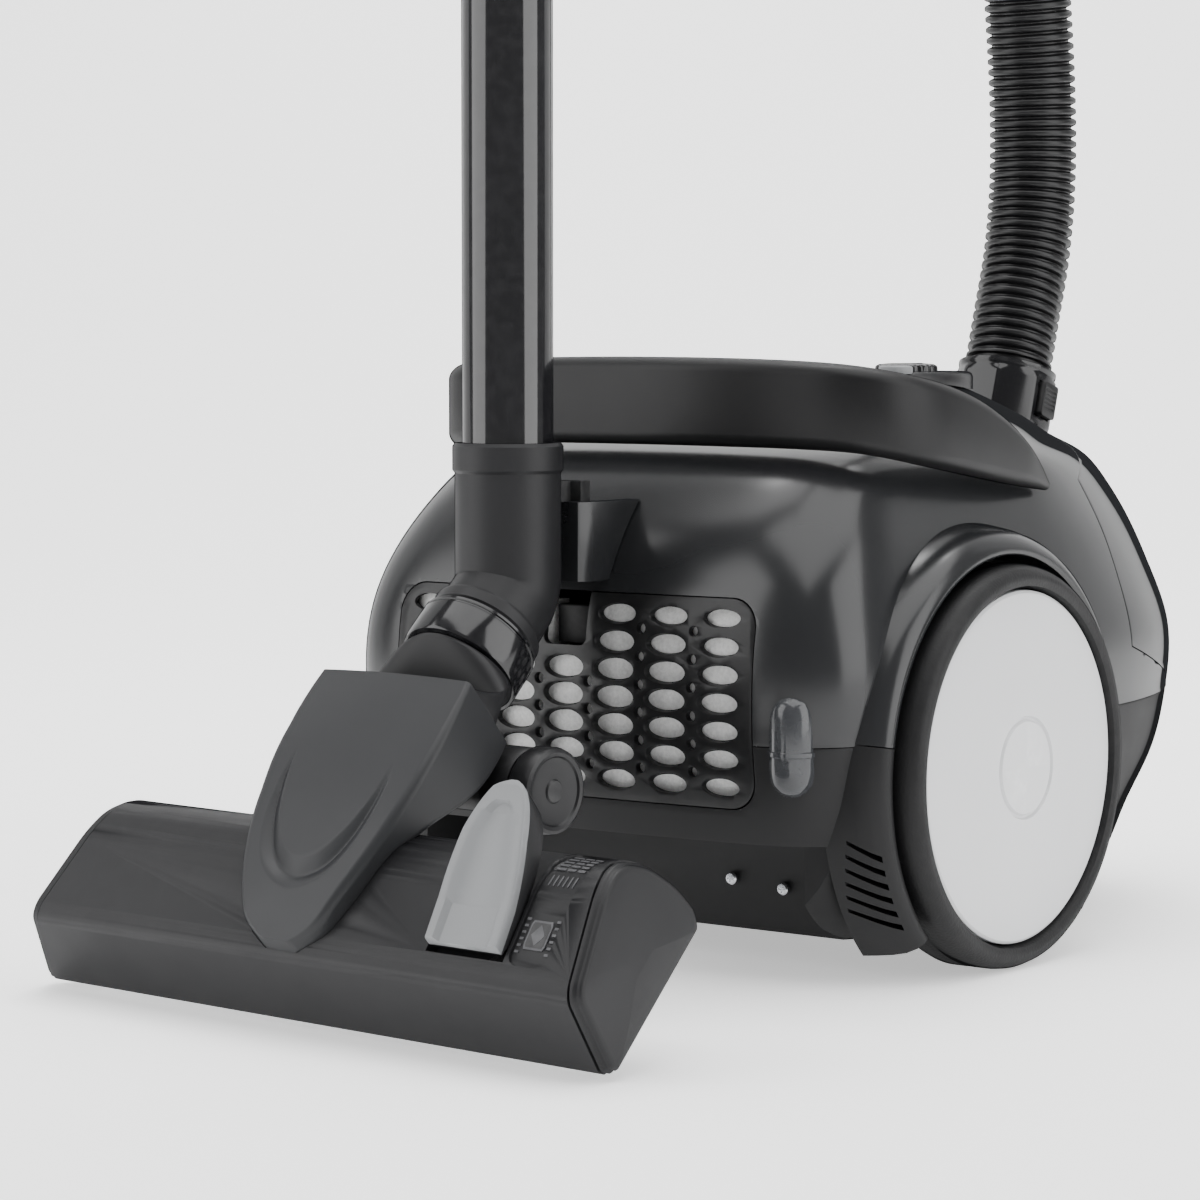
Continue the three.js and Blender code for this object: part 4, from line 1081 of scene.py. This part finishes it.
def scoop_depth(x, u):
    """Depth of the crescent pressed into the shield's face."""
    arc = catmull([(a, b, 0) for a, b in SCOOP], 120)[:, :2]
    away = np.hypot(x[:, None] - arc[None, :, 0], u - arc[None, :, 1])
    near = away.argmin(axis=1)
    swell = np.sin(np.pi * near / 119.0)
    reach = 0.8 + 5.4 * swell ** 1.3
    share = np.clip(1 - away.min(axis=1) / reach, 0, 1)
    return 2.9 * swell ** 0.8 * share ** 1.2


def shield_rings(shrink, count=60, across=1, scooped=False):
    fine = natural_spline(118 - SHIELD_ROWS[:, 0], SHIELD_ROWS, np.linspace(0, 113, count))
    rings = []
    for u, half, low, high, round_ in fine:
        half, low, high = half - shrink, low + shrink, high - shrink
        h = (high - low) / 2
        outline = rounded(half, h, min(max(round_ * 0.5, 2.0), h * 0.85, half * 0.6), steps=7)
        right, left = outline[7], outline[8]
        between = [right + (left - right) * j / (across + 1) for j in range(1, across + 1)]
        outline = np.vstack([outline[:8], between, outline[8:]])
        crown = np.where(outline[:, 1] > 0, CROWN * (outline[:, 0] / half) ** 2, 0) * min(1, h / 10)
        if scooped:
            crown[7:across + 9] += scoop_depth(outline[7:across + 9, 0], u)
        slim = np.interp(u, [5, 34, 60, 90, 118], [0, 2.5, 5, 5, 2]) / max(half, 1)
        x = np.where(outline[:, 0] < 0, outline[:, 0] * (1 - slim), outline[:, 0])
        rings.append(np.stack([shield_centre(u) + x, np.full(len(outline), u),
                               low + h + outline[:, 1] - crown], 1))
    return rings


def shield_top(u):
    return float(np.interp(-u, [-118, -90, -60, -34, -14, -5], [67, 66, 62, 56, 49, 43]))


def build_shield():
    shield = loft("neck_cover", shield_rings(0.15, 170, 120, True), "shield_satin", HEAD, smooth=50)
    boolean(shield, [block("knee", -30, 30, 84, 140, 0, 60, "shield_satin", HEAD)])
    shade(shield, 40)
    give(shield, "nozzle_neck", "shield_satin", "neck_shield")
    # A thin light grey tube along the shield's right top edge: a painted highlight standing in for the light
    # caught on that edge.
    edge = []
    for u in np.linspace(117, 16, 60):
        half = float(np.interp(-u, [-118, -90, -60, -34, -14, -5], [40, 43, 40, 32, 22, 12]))
        edge.append((shield_centre(u) + half - 3.2, u, shield_top(u) - 2.6))
    edge_highlight_tube = swept("shield_painted_highlight_line", edge, lambda i: oval(0.55, 0.55, 10), "mark_grey", HEAD)
    give(edge_highlight_tube, "nozzle_neck", "shield_satin")


def pedal_half(u):
    return 17.3 * math.sqrt(max(0.0, 1 - (max(u - 25, 0) / 45) ** 2))


def pedal_top(u):
    return float(np.interp(u, [14, 28, 50, 66, 70.5], [46, 52, 64, 70.3, 69.4]))


def pedal_part(name, material, top_inset, thickness, narrow=0.0, start=14.0, end=69.6):
    rings = []
    for u in np.linspace(start, end, 44):
        high = pedal_top(u) - top_inset
        low = float(np.interp(u, [14, 20, 56, 70], [41.8, 41.4, 51.9, 56.6]))
        half = pedal_half(u) - narrow
        bottom = low if thickness is None else high - thickness
        top_w = min(2.2, half * 0.5)
        rings.append([(PEDAL_X - half, u, bottom), (PEDAL_X + half, u, bottom),
                      (PEDAL_X + half, u, high - 1.0),
                      (PEDAL_X + half - 0.3, u, high - 0.3), (PEDAL_X + half - 1.0, u, high),
                      (PEDAL_X + half - top_w, u, high), (PEDAL_X - half + top_w, u, high),
                      (PEDAL_X - half + 1.0, u, high),
                      (PEDAL_X - half + 0.3, u, high - 0.3), (PEDAL_X - half, u, high - 1.0)])
    return loft(name, rings, material, HEAD, smooth=35)


PEDAL_X = 93.0


def build_pedal():
    base = pedal_part("pedal_base", "pedal_side", 3.8, None)
    give(base, "pedal", "head_matte", "shoe_pedal")
    top = pedal_part("pedal_tread", "pedal_grey", 0.0, 4.0)
    rings = []
    for u in np.linspace(12, 61, 46):
        high = pedal_top(u)
        half = 11.2 * math.sqrt(max(0.001, 1 - (max(u - 14, 0) / 47.2) ** 2.2))
        rings.append([(PEDAL_X - half, u, high - 2.0), (PEDAL_X + half, u, high - 2.0),
                      (PEDAL_X + half + 3.0, u, high + 0.8),
                      (PEDAL_X - half - 3.0, u, high + 0.8)])
    boolean(top, [loft("panel", rings, "pedal_grey", HEAD)])
    bevel(top, 0.35)
    give(top, "pedal", "pedal_grey")


def build_head():
    body = head_loft("head_body", lambda k: soften(PROFILE, PROFILE_ROUND, squeeze=k), "head_matte", 5.4)
    cavity_outline = [(5, -1), (71, -1), (71.5, 18), (65, 32), (56, 42), (50, 45.5), (40, 45), (9, 35.5),
                      (6.5, 33)]
    cavity = head_loft("cavity", lambda k: (np.array(cavity_outline) - (38, 20)) * k + (38, 20), "head_matte",
                       8.4)
    boolean(cavity, [block("f", 72, 114, 9, 78, 33, 60, "head_matte", HEAD),
                     block("g", -44, 44, 0, 80, 32, 60, "head_matte", HEAD)])
    foot = loft("foot", shield_rings(-0.4), "head_matte", HEAD)
    boolean(body, [cavity, block("well", 74.6, 111.4, 12, 80, 36, 90, "head_matte", HEAD), foot,
                   strip("recess", MARK_X, 11.5, 64, 8.6, -0.95, 4, "head_matte", 4.0)])
    bevel(body, 0.6, 2, 40)
    give(body, "nozzle_head", "head_matte", "nozzle_housing")
    for s, name in ((1, "right"), (-1, "left")):
        rings = []
        for back, squeeze in [(5.0, 0.5), (5.0, 0.97), (4.7, 0.985), (3.2, 0.985), (2.7, 0.975), (2.4, 0.96),
                              (2.0, 0.955),
                              (1.2, 0.955), (0.6, 0.945), (0.15, 0.92), (0.0, 0.88), (-0.25, 0.6),
                              (-0.4, 0.2)]:
            outline = soften(PROFILE, PROFILE_ROUND, squeeze=squeeze)
            rings.append([(end_x(s, u, n, back), u, max(n, 0.2)) for u, n in outline])
        cap = loft(f"end_cap_{name}", rings, "head_matte", HEAD, smooth=45)
        give(cap, "nozzle_head", "head_matte", f"head_end_{name}")
    build_marks()
    build_sole()


TOP_LINE = np.array(sorted((u, n) for u, n in soften(PROFILE, PROFILE_ROUND) if n > 30 and u > 4))


def on_top(x, u, lift=0.0):
    """A point a little above or below the head's upper surface."""
    at = lambda v: float(np.interp(v, TOP_LINE[:, 0], TOP_LINE[:, 1]))
    slope = (at(u + 0.5) - at(u - 0.5))
    size = math.hypot(1, slope)
    return (x, u - slope / size * lift, at(u) + lift / size)


def strip(name, cx, u0, u1, half, lift0, lift1, material, corner=2.0):
    """A thin plate that follows the head's upper surface."""
    rings = []
    for u in np.linspace(u0, u1, max(6, int((u1 - u0) / 1.2))):
        edge = min(u - u0, u1 - u)
        inset = corner - math.sqrt(max(0.0, corner ** 2 - max(0.0, corner - edge) ** 2))
        w = half - inset
        rings.append([on_top(cx - w, u, lift0), on_top(cx + w, u, lift0), on_top(cx + w, u, lift1),
                      on_top(cx - w, u, lift1)])
    return loft(name, rings, material, HEAD)


MARK_X = 121.5


def build_marks():
    """Plain bars, dots and a diamond in a shallow recess, standing for the printed symbols."""
    parts = []
    for row in range(5):
        for column, wide in ((-4.6, 2.2), (0.4, 1.8), (4.8, 1.6)):
            u = 58.5 - 2.3 * row
            parts.append(strip("bar", MARK_X + column, u, u + 1.1, wide, -0.95, -0.62, "mark_grey", 0.2))
    for column in range(6):
        parts.append(strip("tick", MARK_X - 5.5 + 2.2 * column, 42.0, 46.6, 0.32, -0.95, -0.62, "mark_grey",
                           0.1))
    for side in (-1, 1):
        for k in range(6):
            parts.append(strip("dash", MARK_X + side * 6.9, 16.4 + 2.4 * k, 17.3 + 2.4 * k, 0.9, -0.95, -0.62,
                               "mark_grey", 0.1))
    give(join("panel_marks", parts), "nozzle_head", "button_grey")
    frame_plate = strip("symbol_plate", MARK_X, 18.0, 28.6, 4.9, -0.95, -0.62, "mark_grey", 0.6)
    give(frame_plate, "nozzle_head", "button_grey")
    core = strip("symbol_core", MARK_X, 18.8, 27.8, 4.2, -0.9, -0.56, "satin_dark", 0.5)
    give(core, "nozzle_head", "satin_dark")
    rings = []
    for k, u in enumerate(np.linspace(19.6, 27.0, 9)):
        w = 0.15 + 3.0 * (1 - abs(k - 4) / 4)
        rings.append([on_top(MARK_X - w, u, -0.6), on_top(MARK_X + w, u, -0.6), on_top(MARK_X + w, u, -0.46),
                      on_top(MARK_X - w, u, -0.46)])
    give(loft("symbol_diamond", rings, "mark_grey", HEAD), "nozzle_head", "button_grey")


def build_sole():
    sole = block("sole_frame", -129.2, 129.2, 6.2, 69.8, 0.45, 3.3, "steel", HEAD)
    cuts = [block("mouth", -112, 112, 30, 48, -5, 10, "steel", HEAD)]
    cuts += [block("track", -126, 126, y, y + 4.8, -5, 10, "steel", HEAD) for y in (13.6, 59.6)]
    boolean(sole, cuts)
    bevel(sole, 0.6)
    give(sole, "nozzle_head", "steel", "sole_plate")
    for y, name in ((16, "front"), (62, "rear")):
        solids = [block("rail", -125, 125, y - 2, y + 2, 8, 12, "brush", HEAD)]
        for x in np.arange(-123, 123.1, 3.0):
            lean = RNG.uniform(-0.5, 0.5)
            rings = []
            for h, r in ((8.5, 1.1), (1.0 + RNG.uniform(0.05, 0.4), 1.35)):
                ring = oval(r, min(r, 1.3), 7, x + lean * (9 - h) / 8, y)
                rings.append(np.hstack([ring, np.full((7, 1), h)]))
            solids.append(loft("tuft", rings, "brush", HEAD))
        bristles = join(f"bristles_{name}", solids)
        give(bristles, "brushes", "brush", f"brush_{name}")


def build_knuckle():
    barrel = lathe("pivot_barrel", [(0, -38), (10.4, -38), (11, -37.4), (11, -17), (10.6, -16.6),
                                    (10.6, 16.6), (11, 17),
                                    (11, 37.4), (10.4, 38), (0, 38)], "neck_matte", HEAD, axis="X",
                                    at=(0, 114, 14.5))
    riser = block("riser", -15.8, 15.8, 105, 127.8, 14.5, 39.8, "neck_matte", HEAD)
    sleeves = [lathe("sleeve", [(0, s * 24), (14.9, s * 24), (15.6, s * 24.7), (15.6, s * 37.2), (15, s * 38),
                                (0, s * 38)],
                     "neck_matte", HEAD, axis="X", at=(0, 114, 14.5)) for s in (1, -1)]
    boolean(barrel, [riser, *sleeves], "UNION")
    bevel(barrel, 0.8, 3)
    give(barrel, "nozzle_neck", "neck_matte", "neck_knuckle")
    for s, name in ((1, "right"), (-1, "left")):
        profile = [(0, 38.4), (14.2, 38.4), (16, 39.8), (16.5, 41), (16.5, 47.2), (15.9, 49.2), (14.6, 49.95),
                   (13.2, 49.6),
                   (12.6, 48.8), (11.8, 48.6), (4.6, 48.6), (4, 49.3), (0, 49.5)]
        roller = lathe(f"roller_{name}_disc", [(r, s * h) for r, h in profile], "satin_dark", HEAD, axis="X",
                       at=(0, 114, 14.5), steps=96, smooth=30)
        give(roller, f"neck_roller_{name}", "satin_dark", f"roller_{name}")


# ---------- inside ----------
def build_inside():
    motor_x, motor_z = 42, 106
    profile = [(0, -92), (30, -92), (41, -90), (43.8, -86)]
    for k in range(9):
        profile += [(43.8, -80 + 6 * k), (42.4, -79 + 6 * k), (42.4, -77 + 6 * k), (43.8, -76 + 6 * k)]
    profile += [(43.8, -8), (42, -6.2), (30, -6), (29.8, 11), (28, 12), (0, 12)]
    motor = lathe("motor_can", profile, "steel", axis="Y", at=(motor_x, 0, motor_z))
    give(motor, "canister", "steel", "suction_motor")
    drum = [(20, -2), (57.4, -2), (58, -1.4), (58, 0.4), (57.4, 1), (46, 1), (46, 43), (57.4, 43), (58, 43.6),
            (58, 45.4),
            (57.4, 46), (20, 46)]
    reel = lathe("reel_drum", drum, "inner_plastic", axis="X", at=(-76, -20, 114))
    holes = [lathe("h", [(0, -10), (5, -10), (5, 60), (0, 60)], "inner_plastic", axis="X", steps=32,
                   at=(-76, -20 + 33 * math.cos(t), 114 + 33 * math.sin(t))) for t in np.linspace(0,
                           2 * math.pi, 7)[:-1]]
    boolean(reel, holes)
    give(reel, "reel", "inner_plastic", "cord_reel")
    rings = []
    for i in range(49):
        rings.append(38 + (-1.2 if i % 2 else 0))
    disc = [(r * math.cos(i / 48 * 2 * math.pi), r * math.sin(i / 48 * 2 * math.pi)) for i,
            r in enumerate(rings[:-1])]
    sponge = prism("motor_pleats", [(42 + x, 106 + z) for x, z in disc], 50.7, 55.9, "filter", axis="Y")
    give(sponge, "canister", "filter", "motor_filter")
    bag_rings = []
    for y, f in [(60.2, 0.5), (61, 0.56), (64, 0.72), (68, 0.84), (78, 0.92), (90, 0.965), (100, 0.985),
                 (125, 0.99), (150, 0.985),
                 (168, 0.95), (185, 0.9), (194, 0.78), (199, 0.68), (199.8, 0.6)]:
        outline = rounded(78 * f, 62 * f, 24 * f, steps=14)
        angle = np.arctan2(outline[:, 1], outline[:, 0])
        folds = 1 - 0.018 * (0.5 + 0.5 * np.sin(9 * angle + y * 0.06)) - 0.008 * (0.5 + 0.5 * np.sin(23 * angle - y * 0.1))
        bag_rings.append(np.stack([outline[:, 0] * folds, np.full(len(outline), y),
                                   116 + outline[:, 1] * folds], 1))
    bag = loft("paper_bag", bag_rings, "bag", smooth=60)
    give(bag, "canister", "bag", "dust_bag")
    chips = [block("chip", x, x + w, y, y + d, 195.05, 195.05 + h, "connector_black") for x, y, w, d, h in
             [(-34, 24, 9, 9, 2), (-18, 26, 14, 7, 3), (4, 24, 8, 12, 4), (18, 28, 6, 6, 2.5)]]
    give(join("board_chips", chips), "canister", "connector_black")


def dress_cad():
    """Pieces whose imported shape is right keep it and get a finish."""
    finishes = {"axle_left": "steel", "axle_right": "steel", "reel_spindle": "inner_plastic",
                "bulkhead": "inner_plastic", "control_board": "board"}
    for name, material in finishes.items():
        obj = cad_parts[name]
        for slot in obj.material_slots:
            slot.material = MAT[material]
        if not obj.material_slots:
            obj.data.materials.append(MAT[material])


# ---------- floor, light ----------
def build_stage():
    material, tree, bsdf = nodes_of("studio_floor")
    tone = mix_colour(tree, remap(tree, noise(tree, 3.0), 0.3, 0.7, 0, 1), (0.925, 0.925, 0.925),
                      (0.94, 0.94, 0.94))
    link(tree, tone, bsdf.inputs["Base Color"])
    bsdf.inputs["Roughness"].default_value = 0.75
    bsdf.inputs["Emission Color"].default_value = (1, 1, 1, 1)
    bsdf.inputs["Emission Strength"].default_value = 0.6
    outline = []
    for t in np.linspace(0, math.pi / 2, 24):
        outline.append((1.6 + 1.0 * math.sin(t), 1.0 - 1.0 * math.cos(t)))
    outline = [(-6.0, 0.0)] + outline + [(2.6, 6.0)]
    points, faces = [], []
    for y, z in outline:
        points += [(-7.0, y, z), (7.0, y, z)]
    for i in range(len(outline) - 1):
        faces.append((2 * i, 2 * i + 1, 2 * i + 3, 2 * i + 2))
    mesh = bpy.data.meshes.new("floor")
    turn = np.array(Matrix.Rotation(math.radians(37.2), 3, "Z"))
    mesh.from_pydata([tuple(np.array(p) @ turn.T) for p in points], [], faces)
    mesh.materials.append(material)
    floor = bpy.data.objects.new("floor", mesh)
    bpy.context.scene.collection.objects.link(floor)
    floor.location.z = -0.0002
    shade(floor, 60)


def softbox(name, location, target, size, power, size_y=None):
    light = bpy.data.lights.new(name, "AREA")
    light.shape = "RECTANGLE"
    light.size = size
    light.size_y = size_y or size
    light.energy = power
    obj = bpy.data.objects.new(name, light)
    obj.location = location
    direction = Vector(target) - Vector(location)
    obj.rotation_euler = direction.to_track_quat("-Z", "Y").to_euler()
    bpy.context.scene.collection.objects.link(obj)


def build_lights():
    world = bpy.data.worlds.new("soft_room")
    world.use_nodes = True
    world.node_tree.nodes["Background"].inputs["Color"].default_value = (1, 1, 1, 1)
    world.node_tree.nodes["Background"].inputs["Strength"].default_value = 0.34
    bpy.context.scene.world = world
    softbox("top_box", (0.2, 0.0, 2.3), (0, 0.05, 0.0), 2.6, 74)
    softbox("back_box", (-0.6, 0.8, 2.4), (-1.5, 2.0, 0.7), 1.4, 44)
    softbox("right_box", (1.95, 0.25, 1.0), (0.0, 0.0, 0.35), 1.5, 38, 2.0)
    softbox("left_box", (-1.15, -1.5, 1.0), (0.0, -0.1, 0.35), 1.5, 34, 2.0)


build_base()
build_upper()
build_arch_lips()
build_grille()
build_lens()
build_handle()
build_console()
build_wheels()
build_caster()
build_connector()
build_wand()
build_grip()
build_neck()
build_bracket()
build_hood()
build_shield()
build_pedal()
build_head()
build_knuckle()
build_inside()
dress_cad()
build_stage()
build_lights()
